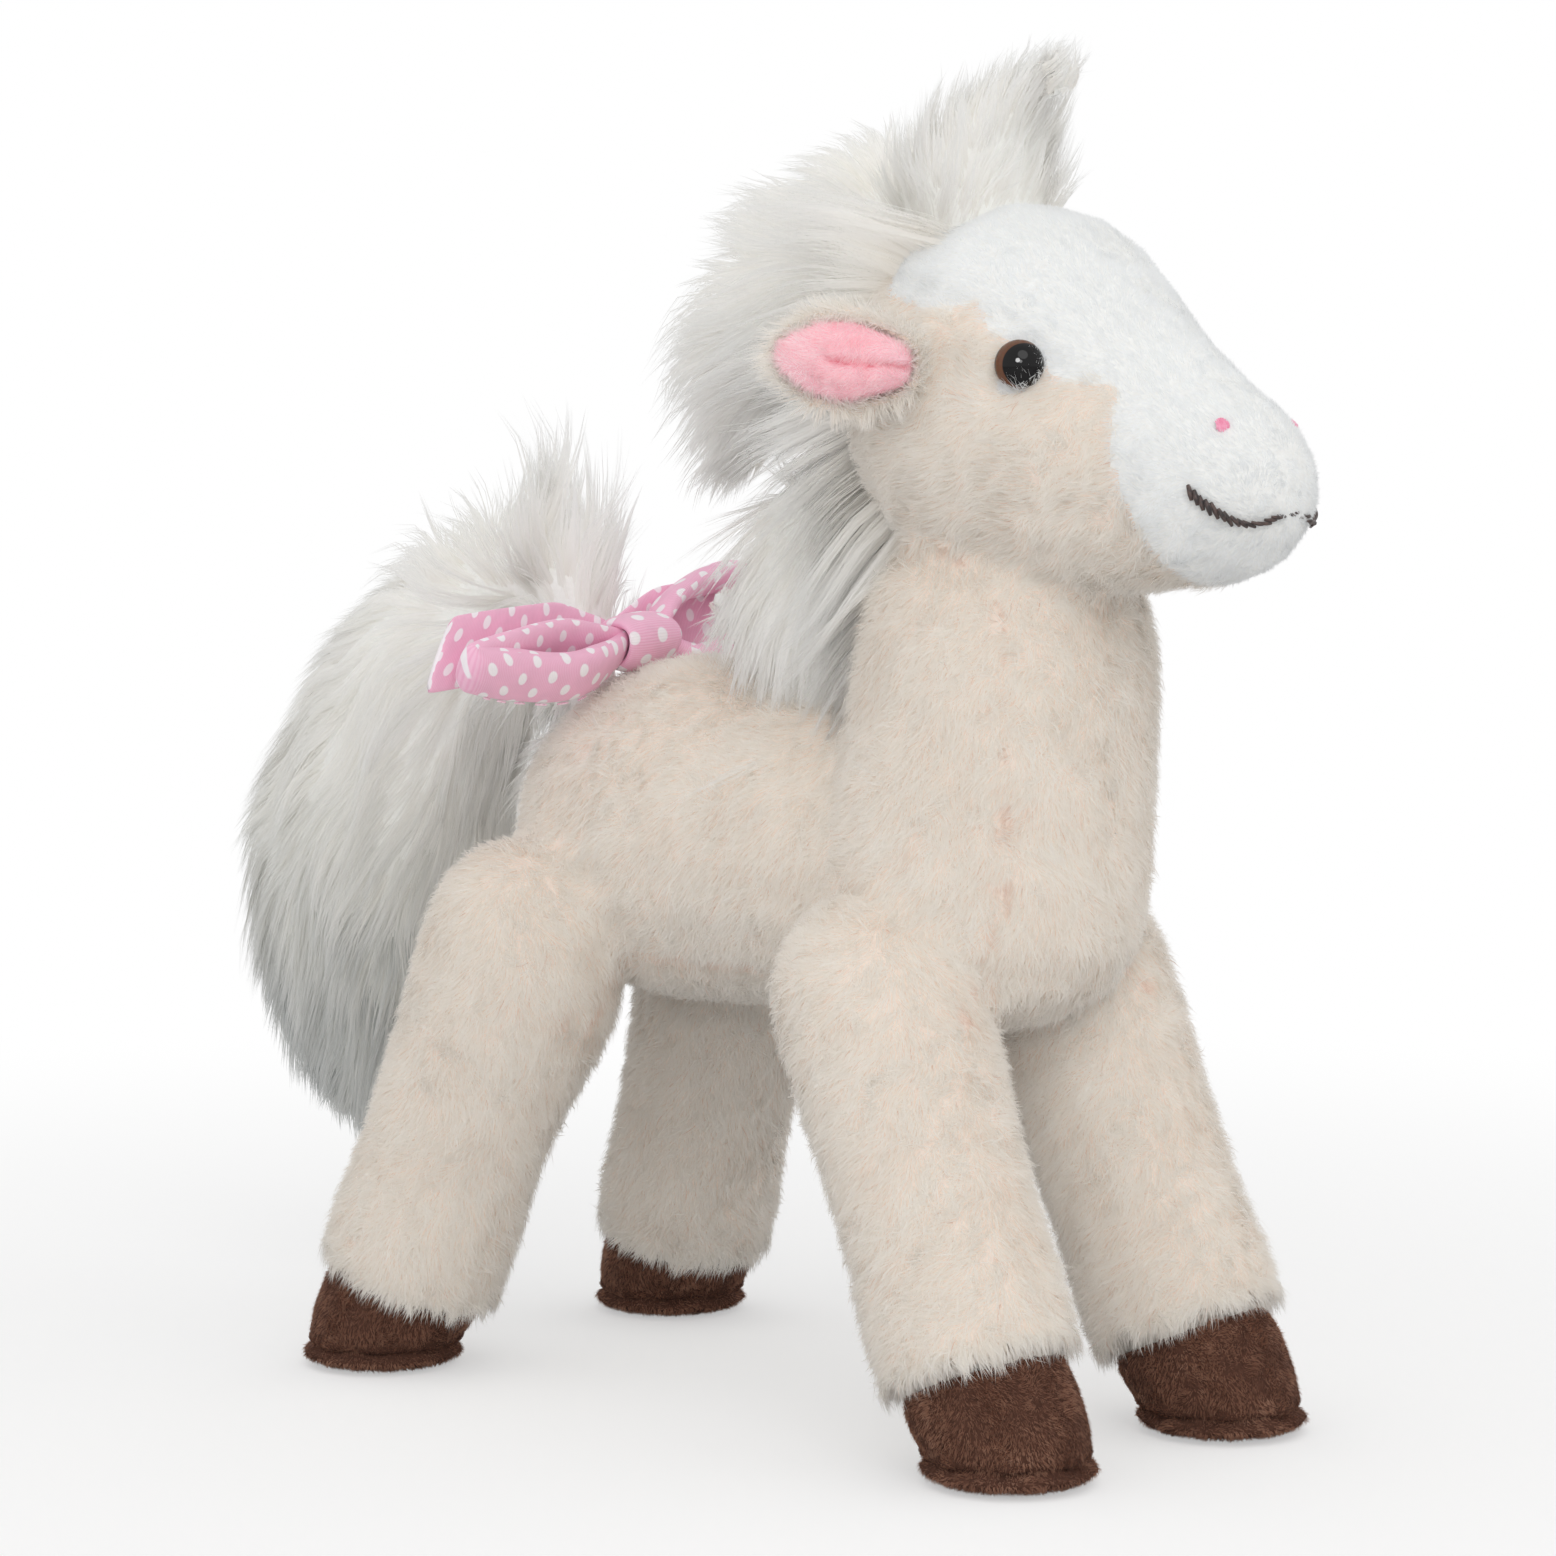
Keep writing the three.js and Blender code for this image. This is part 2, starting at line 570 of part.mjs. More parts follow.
// Mouth: one embroidered line that dips on both sides and rises a little at the middle. Shares
// of its half turn round the muzzle, and of its depth.
const mouthShares = [
  [0, 0.72], [0.16, 0.8], [0.32, 0.96], [0.46, 1], [0.6, 0.88], [0.74, 0.62], [0.88, 0.3], [1, 0],
];
const mouthSpots = [
  ...mouthShares.slice(1).reverse().map(([turn, depth]) => [-turn, depth]), ...mouthShares,
];
const mouthRings = mouthSpots.map(([turn, depth]) => {
  const angle = turn * MOUTH_TURN;
  const from = place(0, SKULL_BACK_FORWARD + HEAD_LENGTH * 0.8, MOUTH_UP - depth * MOUTH_DEPTH);
  return seatOnHead(from, place(Math.sin(angle), Math.cos(angle), 0));
});
const mouthCentres = mouthRings.map(({ point, normal }) => (
  point.clone().addScaledVector(normal, STITCH_THICKNESS / 2 + SEAM_GAP)
));
const mouthLine = new THREE.CatmullRomCurve3(mouthCentres);
piece('mouth_stitch', sweep(mouthCentres.map((centre, i) => ({
  centre,
  facing: mouthLine.getTangent(i / (mouthSpots.length - 1)),
  across: STITCH_THICKNESS / 2,
  deep: STITCH_THICKNESS / 2,
})), AROUND_STITCH, UP), STITCH_BROWN);

// Legs, each with its filling, which runs on into the hoof, and the hoof's band and sole. The
// cloth of leg and hoof is a tube that is open at both ends.
const soleShares = [[0, 0.76], [0.12, 0.88], [0.45, 0.99], [0.75, 1], [1, 0.95]];
LEGS.forEach(({ leg, hoof, course }) => {
  const { joint, facing, hem, ground } = course;
  const inward = place(-Math.sign(joint.x), 0, 0);
  const beyond = (rings, distance) => {
    const end = rings.at(-1);
    return { ...end, centre: end.centre.clone().addScaledVector(end.facing, distance) };
  };
  const outer = sweep([...domeRings(joint, facing, LEG_RADIUS), ...legRings(course, 0)], AROUND_LEG);
  const innerRings = legRings(course, SKIN);
  const ball = domeRings(joint, facing, LEG_RADIUS - SKIN, LEG_RADIUS - SKIN, 3);
  const room = sweep([...ball, ...innerRings, beyond(innerRings, CUT_OVERRUN)], AROUND_LEG_WITHIN)
    .add(opening(joint, inward, LEG_RADIUS, AROUND_LEG_WITHIN));
  piece(`${leg}_cover`, outer.subtract(room), CREAM);

  const bandOuter = sweep(hoofRings(course, 0, SEAM_GAP, SEAM_GAP), AROUND_LEG);
  const bandRings = hoofRings(course, SKIN, SEAM_GAP, SEAM_GAP);
  const bandTop = { ...bandRings[0], centre: hem.clone().addScaledVector(facing, -CUT_OVERRUN) };
  const bandRoom = sweep([bandTop, ...bandRings, beyond(bandRings, CUT_OVERRUN)], AROUND_LEG_WITHIN);
  piece(`${hoof}_band`, bandOuter.subtract(bandRoom), HOOF_BROWN);

  piece(`${hoof}_sole`, sweep(soleShares.map(([rise, wide]) => ({
    centre: ground.clone().setZ(rise * SOLE_THICKNESS), facing: UP,
    across: wide * HOOF_RADIUS, deep: wide * HOOF_RADIUS,
  })), AROUND_LEG), HOOF_BROWN);

  const core = sweep([
    ...domeRings(joint, facing, LEG_RADIUS - fillingInset, LEG_RADIUS - fillingInset, 3),
    ...legRings(course, fillingInset).slice(0, -1),
    ...hoofRings(course, fillingInset, 0, SEAM_GAP),
  ], AROUND_LEG_WITHIN);
  piece(`${leg}_filling`, core, FIBRE);
});

// Long pile. Each mass is swept along its own course: shares of its reach, and of its width and
// depth. What it grows from cuts it.
function mass(course, across, deep, around = AROUND_SMALL) {
  const centres = course.map(({ centre }) => centre);
  const curve = new THREE.CatmullRomCurve3(centres);
  return sweep(course.map(({ centre, wide, thick }, i) => ({
    centre,
    facing: curve.getTangent(i / (course.length - 1)),
    across: wide * across / 2,
    deep: thick * deep / 2,
  })), around);
}

// The forelock stands on the top of the head and leans forward. Shares of its height, of its depth
// forward, and of width and depth.
const forelockShares = [
  [0, -0.3, 0.55, 0.7], [0.15, -0.26, 0.9, 0.95], [0.4, -0.1, 1, 1], [0.65, 0.12, 0.72, 0.78],
  [0.85, 0.4, 0.36, 0.42], [1, 0.6, 0.1, 0.1],
];
// The crown mane hangs from the top of the head round behind it, and its tips outside the neck
// mane, so that it turns with the head about the nod joint. Shares of a quarter turn back from
// upright, of the reach, and of width and depth.
const crownShares = [
  [-0.02, 0.95, 0.3, 0.3], [0.1, 0.98, 0.62, 0.66], [0.22, 0.99, 0.88, 0.9], [0.36, 0.98, 1, 1],
  [0.48, 0.98, 1, 0.82], [0.59, 0.97, 0.88, 0.58], [0.69, 0.95, 0.66, 0.42], [0.76, 0.94, 0.36, 0.22],
];
const forelockFoot = JAW_UP + HEAD_HEIGHT - FORELOCK_HEIGHT * 0.3;
const forelockCourse = (grow) => mass(forelockShares.map(([rise, lean, wide, thick]) => ({
  centre: place(0, FORELOCK_FORWARD + lean * FORELOCK_DEPTH, forelockFoot + rise * FORELOCK_HEIGHT),
  wide,
  thick,
})), FORELOCK_WIDTH + 2 * grow, FORELOCK_DEPTH + 2 * grow);
piece('forelock', forelockCourse(0).subtract(headClear), WHITE);

const crownMane = mass(crownShares.map(([turn, reach, wide, thick]) => {
  const angle = (turn * Math.PI) / 2;
  const away = reach * CROWN_MANE_REACH;
  return {
    centre: place(0, NOD_FORWARD - away * Math.sin(angle), NOD_UP + away * Math.cos(angle)),
    wide, thick,
  };
}), CROWN_MANE_WIDTH, CROWN_MANE_DEPTH);
piece('crown_mane', crownMane.subtract(headClear).subtract(forelockCourse(SEAM_GAP)), WHITE);

// The neck mane grows from the back of the neck down over the withers. Shares of its height
// downwards from its top, of its reach back from the neck, and of width and depth.
const neckManeShares = [
  [0, 0.3, 0.6, 0.36], [0.14, 0.35, 0.84, 0.58], [0.38, 0.4, 1, 0.72], [0.62, 0.46, 1, 0.83],
  [0.82, 0.54, 0.9, 0.96], [1, 0.58, 0.55, 0.72],
];
const neckBack = NOD_FORWARD - NECK_RADIUS + CUT_OVERRUN / 2;
const neckMane = mass(neckManeShares.map(([drop, back, wide, thick]) => ({
  centre: place(0, neckBack - back * NECK_MANE_REACH, NECK_MANE_TOP - drop * NECK_MANE_HEIGHT),
  wide, thick,
})), NECK_MANE_WIDTH, NECK_MANE_REACH);
piece('neck_mane', neckMane.subtract(trunkClear), WHITE);

// The tail springs up from its root, then falls behind the legs. Shares of reach back, of drop
// from the root (less than nothing is above it), and of width and depth.
const tailShares = [
  [0, 0, 0.2, 0.16], [0, -0.12, 0.26, 0.22], [0.03, -0.22, 0.4, 0.34], [0.14, -0.27, 0.58, 0.5],
  [0.33, -0.2, 0.74, 0.66],
  [0.54, 0, 0.88, 0.84], [0.72, 0.3, 0.98, 0.98], [0.8, 0.6, 0.8, 0.84], [0.77, 0.84, 0.48, 0.52],
  [0.7, 1, 0.12, 0.14],
];
const tailHair = mass(tailShares.map(([back, drop, wide, thick]) => ({
  centre: place(0, TAIL_ROOT_FORWARD - back * TAIL_REACH, TAIL_ROOT_UP - drop * TAIL_DROP),
  wide,
  thick,
})), TAIL_WIDTH, TAIL_DEPTH);
const rootBall = new THREE.SphereGeometry(TAIL_ROOT_RADIUS, AROUND_SMALL, AROUND_SMALL / 2);
rootBall.translate(tailRoot.x, tailRoot.y, tailRoot.z);
piece('tail', tailHair.add(solid(rootBall)), WHITE);

// Ribbon bow on the rump, in front of the tail root, its right side hanging lower. It is built
// level about its knot, then tilted and set down.
const trunkSurface = new THREE.Mesh(geometryOf(trunkOuter));
const overRump = place(0, BOW_FORWARD, NOD_UP + HEAD_HEIGHT);
const rumpTop = new THREE.Raycaster(overRump, DOWN).intersectObject(trunkSurface)[0].point.z;
const knotUp = rumpTop + SEAM_GAP + (KNOT_HEIGHT + KNOT_WIDTH * Math.sin(BOW_TILT)) / 2;
const knotShares = [[-1, 0.72], [-0.8, 0.93], [-0.3, 1], [0.3, 1], [0.8, 0.93], [1, 0.72]];
const bow = new THREE.Group();
bow.rotation.set(0, -BOW_TILT, 0);
bow.position.copy(place(0, BOW_FORWARD, knotUp));
horse.add(bow);
piece('bow_knot', sweep(knotShares.map(([along, wide]) => ({
  centre: place(along * KNOT_WIDTH / 2, 0, 0), facing: SIDEWAYS,
  across: wide * RIBBON_WIDTH / 2, deep: wide * KNOT_HEIGHT / 2,
})), AROUND_SMALL, FORWARD), BOW_PINK, bow);

// A teardrop band: its outline in shares of loop length and half height, closed on the knot side.
const loopShares = [[0, 0.3], [0.2, 0.62], [0.5, 0.95], [0.75, 1], [0.92, 0.74], [1, 0]];
SIDES.forEach(({ name, sign }) => {
  const outline = (inset) => {
    const length = LOOP_LENGTH - 2 * inset;
    const half = LOOP_HEIGHT / 2 - inset;
    const upper = loopShares.map(([out, high]) => (
      new THREE.Vector2(inset + out * length, high * half)
    ));
    const lower = upper.slice(0, -1).reverse().map((point) => new THREE.Vector2(point.x, -point.y));
    return [...upper, ...lower];
  };
  const band = new THREE.Shape(outline(0));
  band.holes.push(new THREE.Path(outline(RIBBON_THICKNESS).reverse()));
  const loop = new THREE.ExtrudeGeometry(band, { depth: RIBBON_WIDTH, bevelEnabled: false });
  loop.translate(KNOT_WIDTH / 2 + SEAM_GAP, 0, -RIBBON_WIDTH / 2);
  loop.applyMatrix4(new THREE.Matrix4().makeBasis(SIDEWAYS, UP, FORWARD));
  if (sign < 0) loop.rotateZ(Math.PI);
  piece(`bow_loop_${name}`, solid(loop), BOW_PINK, bow);
});

// The ribbon's two ends stand on edge behind the loops and droop towards their tips.
const endShares = [[0, 0, 0.8], [0.25, 0.02, 1], [0.5, -0.02, 1], [0.75, -0.1, 1], [1, -0.22, 1.05]];
const endForward = -RIBBON_WIDTH / 2 - SEAM_GAP - RIBBON_THICKNESS / 2;
SIDES.forEach(({ name, sign }) => {
  piece(`bow_end_${name}`, sweep(endShares.map(([out, rise, wide]) => ({
    centre: place(sign * (SEAM_GAP + out * RIBBON_END_LENGTH), endForward, rise * RIBBON_WIDTH),
    facing: place(sign, 0, 0), across: RIBBON_THICKNESS / 2, deep: wide * RIBBON_WIDTH / 2,
  })), AROUND_RIBBON, FORWARD), BOW_PINK, bow);
});

// The whole part stands with the middle of its box over the origin.
const box = new THREE.Box3().setFromObject(horse);
const middle = box.getCenter(new THREE.Vector3());
horse.position.set(-middle.x, -middle.y, -box.min.z);

export default horse;
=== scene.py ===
import json
import logging
import math
from dataclasses import dataclass, field
from enum import Enum

import bmesh
import bpy
import numpy as np
from mathutils import Matrix, Vector
from mathutils.bvhtree import BVHTree
from mathutils.kdtree import KDTree

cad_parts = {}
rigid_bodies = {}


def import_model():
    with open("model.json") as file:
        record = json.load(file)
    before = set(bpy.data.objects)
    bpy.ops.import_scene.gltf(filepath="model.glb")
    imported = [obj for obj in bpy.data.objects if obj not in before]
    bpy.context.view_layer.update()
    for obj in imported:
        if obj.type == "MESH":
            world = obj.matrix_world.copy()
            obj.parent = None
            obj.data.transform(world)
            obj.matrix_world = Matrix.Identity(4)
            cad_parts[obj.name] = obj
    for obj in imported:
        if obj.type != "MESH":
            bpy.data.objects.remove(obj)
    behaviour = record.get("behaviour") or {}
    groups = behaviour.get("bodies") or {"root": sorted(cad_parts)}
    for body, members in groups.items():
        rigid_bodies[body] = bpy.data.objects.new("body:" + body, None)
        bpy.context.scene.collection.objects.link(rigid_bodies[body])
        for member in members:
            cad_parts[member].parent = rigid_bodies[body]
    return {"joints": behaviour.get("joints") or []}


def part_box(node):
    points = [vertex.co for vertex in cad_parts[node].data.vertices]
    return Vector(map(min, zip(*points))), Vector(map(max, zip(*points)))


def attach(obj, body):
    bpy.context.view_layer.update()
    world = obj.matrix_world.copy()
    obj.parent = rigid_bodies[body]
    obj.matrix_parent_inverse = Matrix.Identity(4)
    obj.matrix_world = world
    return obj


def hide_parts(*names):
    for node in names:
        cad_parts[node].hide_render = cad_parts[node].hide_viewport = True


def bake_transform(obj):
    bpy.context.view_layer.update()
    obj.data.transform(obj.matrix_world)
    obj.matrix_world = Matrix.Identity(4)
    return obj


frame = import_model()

logging.basicConfig(level=logging.INFO, format="%(message)s")
log = logging.getLogger("plush horse")

norm = np.linalg.norm
chance = np.random.default_rng

MM = 0.001
UP = Vector((0.0, 0.0, 1.0))
Triple = tuple[float, float, float]
Colour = Triple
Rows = np.ndarray
Piece = bpy.types.Object
Socket = bpy.types.NodeSocket


class Side(Enum):
    """The horse's two sides, with the sign of X on each."""

    RIGHT = -1
    LEFT = 1

    @property
    def word(self) -> str:
        """The side's name as the pieces write it."""
        return self.name.lower()


class Pair(Enum):
    """The two pairs of legs."""

    FRONT = "front"
    REAR = "rear"


def shade(red: int, green: int, blue: int) -> Colour:
    """Turn a screen colour into the linear one that a shader takes.

    Args:
        red: Red from 0 to 255.
        green: Green from 0 to 255.
        blue: Blue from 0 to 255.

    Returns:
        The three linear shares.
    """
    def linear(level: int) -> float:
        """One channel, from the screen's curve to a share of light."""
        share = level / 255
        return share / 12.92 if share <= 0.04045 else ((share + 0.055) / 1.055) ** 2.4

    return linear(red), linear(green), linear(blue)


def joint_place(name: str) -> Vector:
    """The point that a joint turns about, from the record."""
    rows = [row for row in frame["joints"] if row.get("id", row.get("name")) == name]
    return Vector(rows[0]["pos_m"])


def vertex_rows(mesh: bpy.types.Mesh, kind: str = "co") -> Rows:
    """Read one vector of each of a mesh's vertices.

    Args:
        mesh: The mesh.
        kind: Their places in metres, "co", or their outward ways, "normal".

    Returns:
        The vectors, one row each.
    """
    rows = np.empty(len(mesh.vertices) * 3)
    mesh.vertices.foreach_get(kind, rows)
    return rows.reshape(-1, 3)


def move_vertices(mesh: bpy.types.Mesh, points: Rows) -> None:
    """Put a mesh's vertices at new places, one row each."""
    mesh.vertices.foreach_set("co", points.ravel())
    mesh.update()


def shade_smooth(piece: Piece) -> None:
    """Shade all of a piece's faces smooth."""
    piece.data.polygons.foreach_set("use_smooth", np.ones(len(piece.data.polygons), dtype=bool))


def node_points(name: str) -> Rows:
    """Read a CAD node's vertices in metres, one row each."""
    return vertex_rows(bpy.data.objects[name].data)


def node_tree(*names: str) -> BVHTree:
    """Gather the surfaces of CAD nodes, for finding the nearest.

    Args:
        names: The nodes.

    Returns:
        A tree of their faces.
    """
    points: list[Triple] = []
    faces: list[list[int]] = []
    for name in names:
        mesh = bpy.data.objects[name].data
        start = len(points)
        points.extend(tuple(vertex.co) for vertex in mesh.vertices)
        faces.extend([start + index for index in face.vertices] for face in mesh.polygons)
    return BVHTree.FromPolygons(points, faces)


def distances(tree: BVHTree, points: Rows) -> Rows:
    """Measure how far points, one row each, lie from a surface, in metres."""
    return np.array([tree.find_nearest(Vector(point))[3] for point in points])


def further(points: Rows, first: tuple[str, ...], second: tuple[str, ...]) -> Rows:
    """Measure how much further points lie from the first nodes than from the second, in metres."""
    return distances(node_tree(*first), points) - distances(node_tree(*second), points)


def put(name: str, data: bpy.types.ID) -> Piece:
    """Put new data into the scene as an object.

    Args:
        name: The object's name.
        data: What it shows.

    Returns:
        The object.
    """
    made = bpy.data.objects.new(name, data)
    bpy.context.scene.collection.objects.link(made)
    return made


def report(piece: Piece) -> None:
    """Log a finished piece with its number of faces."""
    log.info("%s: %d faces", piece.name, len(piece.data.polygons))


def select_only(*pieces: Piece) -> None:
    """Select these pieces and nothing else, the first of them active.

    Args:
        *pieces: The pieces.
    """
    bpy.ops.object.select_all(action="DESELECT")
    for piece in pieces:
        piece.select_set(True)
    bpy.context.view_layer.objects.active = pieces[0]


def apply_modifier(piece: Piece, kind: str, **settings: object) -> None:
    """Add one modifier to a piece, set it and apply it.

    Args:
        piece: The piece.
        kind: The modifier's type.
        settings: The modifier's own values.
    """
    select_only(piece)
    bpy.ops.object.modifier_add(type=kind)
    modifier = piece.modifiers[-1]
    for key, value in settings.items():
        setattr(modifier, key, value)
    bpy.ops.object.modifier_apply(modifier=modifier.name)


def copy_nodes(name: str, *nodes: str) -> Piece:
    """Copy CAD nodes into one new piece, with the vertices at each place merged.

    Args:
        name: The new piece's name.
        nodes: The nodes to copy.

    Returns:
        The new piece.
    """
    copies = []
    for node in nodes:
        copy = bpy.data.objects[node].copy()
        copy.data = copy.data.copy()
        copy.parent = None
        copy.hide_render = False
        copy.hide_viewport = False
        bpy.context.scene.collection.objects.link(copy)
        copies.append(copy)
    select_only(*copies)
    if len(copies) > 1:
        bpy.ops.object.join()
    piece = bpy.context.view_layer.objects.active
    piece.name = piece.data.name = name
    piece.data.materials.clear()
    bpy.ops.object.mode_set(mode="EDIT")
    bpy.ops.mesh.select_all(action="SELECT")
    bpy.ops.mesh.remove_doubles(threshold=0.01 * MM)
    bpy.ops.mesh.normals_make_consistent(inside=False)
    bpy.ops.object.mode_set(mode="OBJECT")
    return piece


def keep_largest(piece: Piece) -> None:
    """Delete every loose part of a piece but the one with the most vertices.

    Args:
        piece: The piece.
    """
    cloth = bmesh.new()
    cloth.from_mesh(piece.data)
    left = set(cloth.verts)
    parts = []
    while left:
        part = {left.pop()}
        edge = list(part)
        while edge:
            vertex = edge.pop()
            for link in vertex.link_edges:
                other = link.other_vert(vertex)
                if other not in part:
                    part.add(other)
                    edge.append(other)
        left -= part
        parts.append(part)
    parts.sort(key=len, reverse=True)
    bmesh.ops.delete(cloth, geom=[v for part in parts[1:] for v in part], context="VERTS")
    cloth.to_mesh(piece.data)
    cloth.free()


def soften(piece: Piece, voxel: float, factor: float, iterations: int, swell: float = 0.0) -> None:
    """Fuse a piece into one soft form.

    Args:
        piece: The piece.
        voxel: The size of its new faces, in metres.
        factor: How strongly each round of smoothing works.
        iterations: How many rounds there are.
        swell: How far the surface then moves outwards, in metres.
    """
    apply_modifier(piece, "REMESH", mode="VOXEL", voxel_size=voxel)
    keep_largest(piece)
    apply_modifier(piece, "SMOOTH", factor=factor, iterations=iterations)
    if swell:
        apply_modifier(piece, "DISPLACE", strength=swell, mid_level=0.0)


def face_centres(piece: Piece) -> Rows:
    """Read the middles of a piece's faces, one row each, in metres.

    Args:
        piece: The piece.

    Returns:
        The middles.
    """
    centres = np.empty(len(piece.data.polygons) * 3)
    piece.data.polygons.foreach_get("center", centres)
    return centres.reshape(-1, 3)


def part_off(piece: Piece, chosen: Rows, name: str) -> Piece:
    """Cut the chosen faces off a piece into a new one.

    Args:
        piece: The piece that is cut.
        chosen: One true or false for each of its faces.
        name: The new piece's name.

    Returns:
        The new piece.
    """
    before = set(bpy.data.objects)
    mesh = piece.data
    mesh.vertices.foreach_set("select", np.zeros(len(mesh.vertices), dtype=bool))
    mesh.edges.foreach_set("select", np.zeros(len(mesh.edges), dtype=bool))
    mesh.polygons.foreach_set("select", chosen)
    select_only(piece)
    bpy.context.tool_settings.mesh_select_mode = (False, False, True)
    bpy.ops.object.mode_set(mode="EDIT")
    bpy.ops.mesh.separate(type="SELECTED")
    bpy.ops.object.mode_set(mode="OBJECT")
    part = (set(bpy.data.objects) - before).pop()
    part.name = part.data.name = name
    return part


@dataclass
class Material:
    """One node material while it is put together."""

    name: str
    made: bpy.types.Material = field(init=False)

    def __post_init__(self) -> None:
        """Start the material with its one shader."""
        self.made = bpy.data.materials.new(self.name)
        self.made.use_nodes = True

    @property
    def shader(self) -> bpy.types.Node:
        """The material's surface shader."""
        return self.made.node_tree.nodes["Principled BSDF"]

    def node(self, kind: str, **settings: object) -> bpy.types.Node:
        """Add a node.

        Args:
            kind: The node's type.
            settings: Its own values, and the defaults of its sockets, with _ for a space.

        Returns:
            The node.
        """
        node = self.made.node_tree.nodes.new(kind)
        for key, value in settings.items():
            socket = key.replace("_", " ")
            if hasattr(node, key):
                setattr(node, key, value)
            else:
                node.inputs[socket].default_value = value
        return node

    def link(self, output: Socket, socket: Socket) -> None:
        """Join two sockets."""
        self.made.node_tree.links.new(output, socket)

    def ramp(self, value: Socket, stops: tuple[tuple[float, Colour], ...],
             smooth: bool = False) -> Socket:
        """Turn a value into a colour.

        Args:
            value: The value, from 0 to 1.
            stops: Places on the ramp, each with its colour.
            smooth: Whether the colours ease into each other.

        Returns:
            The colour's socket.
        """
        node = self.node("ShaderNodeValToRGB")
        ramp = node.color_ramp
        ramp.interpolation = "EASE" if smooth else "LINEAR"
        while len(ramp.elements) < len(stops):
            ramp.elements.new(0.5)
        for element, (place, colour) in zip(ramp.elements, stops):
            element.position = place
            element.color = (*colour, 1)
        self.link(value, node.inputs["Fac"])
        return node.outputs["Color"]

    def mixed(self, kind: str, factor: object, first: object, second: object) -> Socket:
        """Mix two colours.

        Args:
            kind: How they mix.
            factor: A share, or the socket that gives it.
            first: A colour, or the socket that gives it.
            second: A colour, or the socket that gives it.

        Returns:
            The colour's socket.
        """
        node = self.node("ShaderNodeMix", data_type="RGBA", blend_type=kind)
        for socket, value in ((node.inputs[0], factor), (node.inputs[6], first), (node.inputs[7], second)):
            if isinstance(value, Socket):
                self.link(value, socket)
            elif isinstance(value, tuple):
                socket.default_value = (*value, 1)
            else:
                socket.default_value = value
        return node.outputs[2]

    def noise(self, scale: float, detail: float, place: Socket | None = None) -> bpy.types.Node:
        """Lay noise over a piece.

        Args:
            scale: How fine it is.
            detail: How many finer layers it has.
            place: The map that it follows, or None for the piece's own place.

        Returns:
            The noise's node.
        """
        node = self.node("ShaderNodeTexNoise", Scale=scale, Detail=detail)
        self.link(place or self.node("ShaderNodeTexCoord").outputs["Object"], node.inputs["Vector"])
        return node

    def raised(self, height: Socket, strength: float, distance: float) -> None:
        """Raise the surface a little.

        Args:
            height: The height's socket.
            strength: How much of it shows.
            distance: The full height in metres.
        """
        bump = self.node("ShaderNodeBump", Strength=strength, Distance=distance)
        self.link(height, bump.inputs["Height"])
        self.link(bump.outputs["Normal"], self.shader.inputs["Normal"])

    def surface(self, colour: Socket, **values: float) -> bpy.types.Material:
        """Give the shader its colour and its even values.

        Args:
            colour: The colour's socket.
            values: The shader's other sockets, with _ for a space, each with its value.

        Returns:
            The material.
        """
        self.link(colour, self.shader.inputs["Base Color"])
        for key, value in values.items():
            self.shader.inputs[key.replace("_", " ")].default_value = value
        return self.made

    def mix_surface(self, factor: float | Socket, second: bpy.types.Node) -> None:
        """Mix the shader with a second one and show the mix.

        Args:
            factor: The second one's share, or the socket that gives it.
            second: The second one.
        """
        mix = self.node("ShaderNodeMixShader")
        if isinstance(factor, float):
            mix.inputs[0].default_value = factor
        else:
            self.link(factor, mix.inputs[0])
        self.link(self.shader.outputs[0], mix.inputs[1])
        self.link(second.outputs[0], mix.inputs[2])
        self.link(mix.outputs[0], self.made.node_tree.nodes["Material Output"].inputs["Surface"])


@dataclass(frozen=True)
class Finish:
    """A finish that becomes one shared material."""

    name: str

    def material_once(self) -> bpy.types.Material:
        """The finish's material, made the first time it is asked for."""
        return bpy.data.materials.get(self.name) or self.material()

    def material(self) -> bpy.types.Material:
        """Make the finish's material."""
        raise NotImplementedError

    def cover(self, piece: Piece) -> None:
        """Give a piece this finish."""
        piece.data.materials.append(self.material_once())


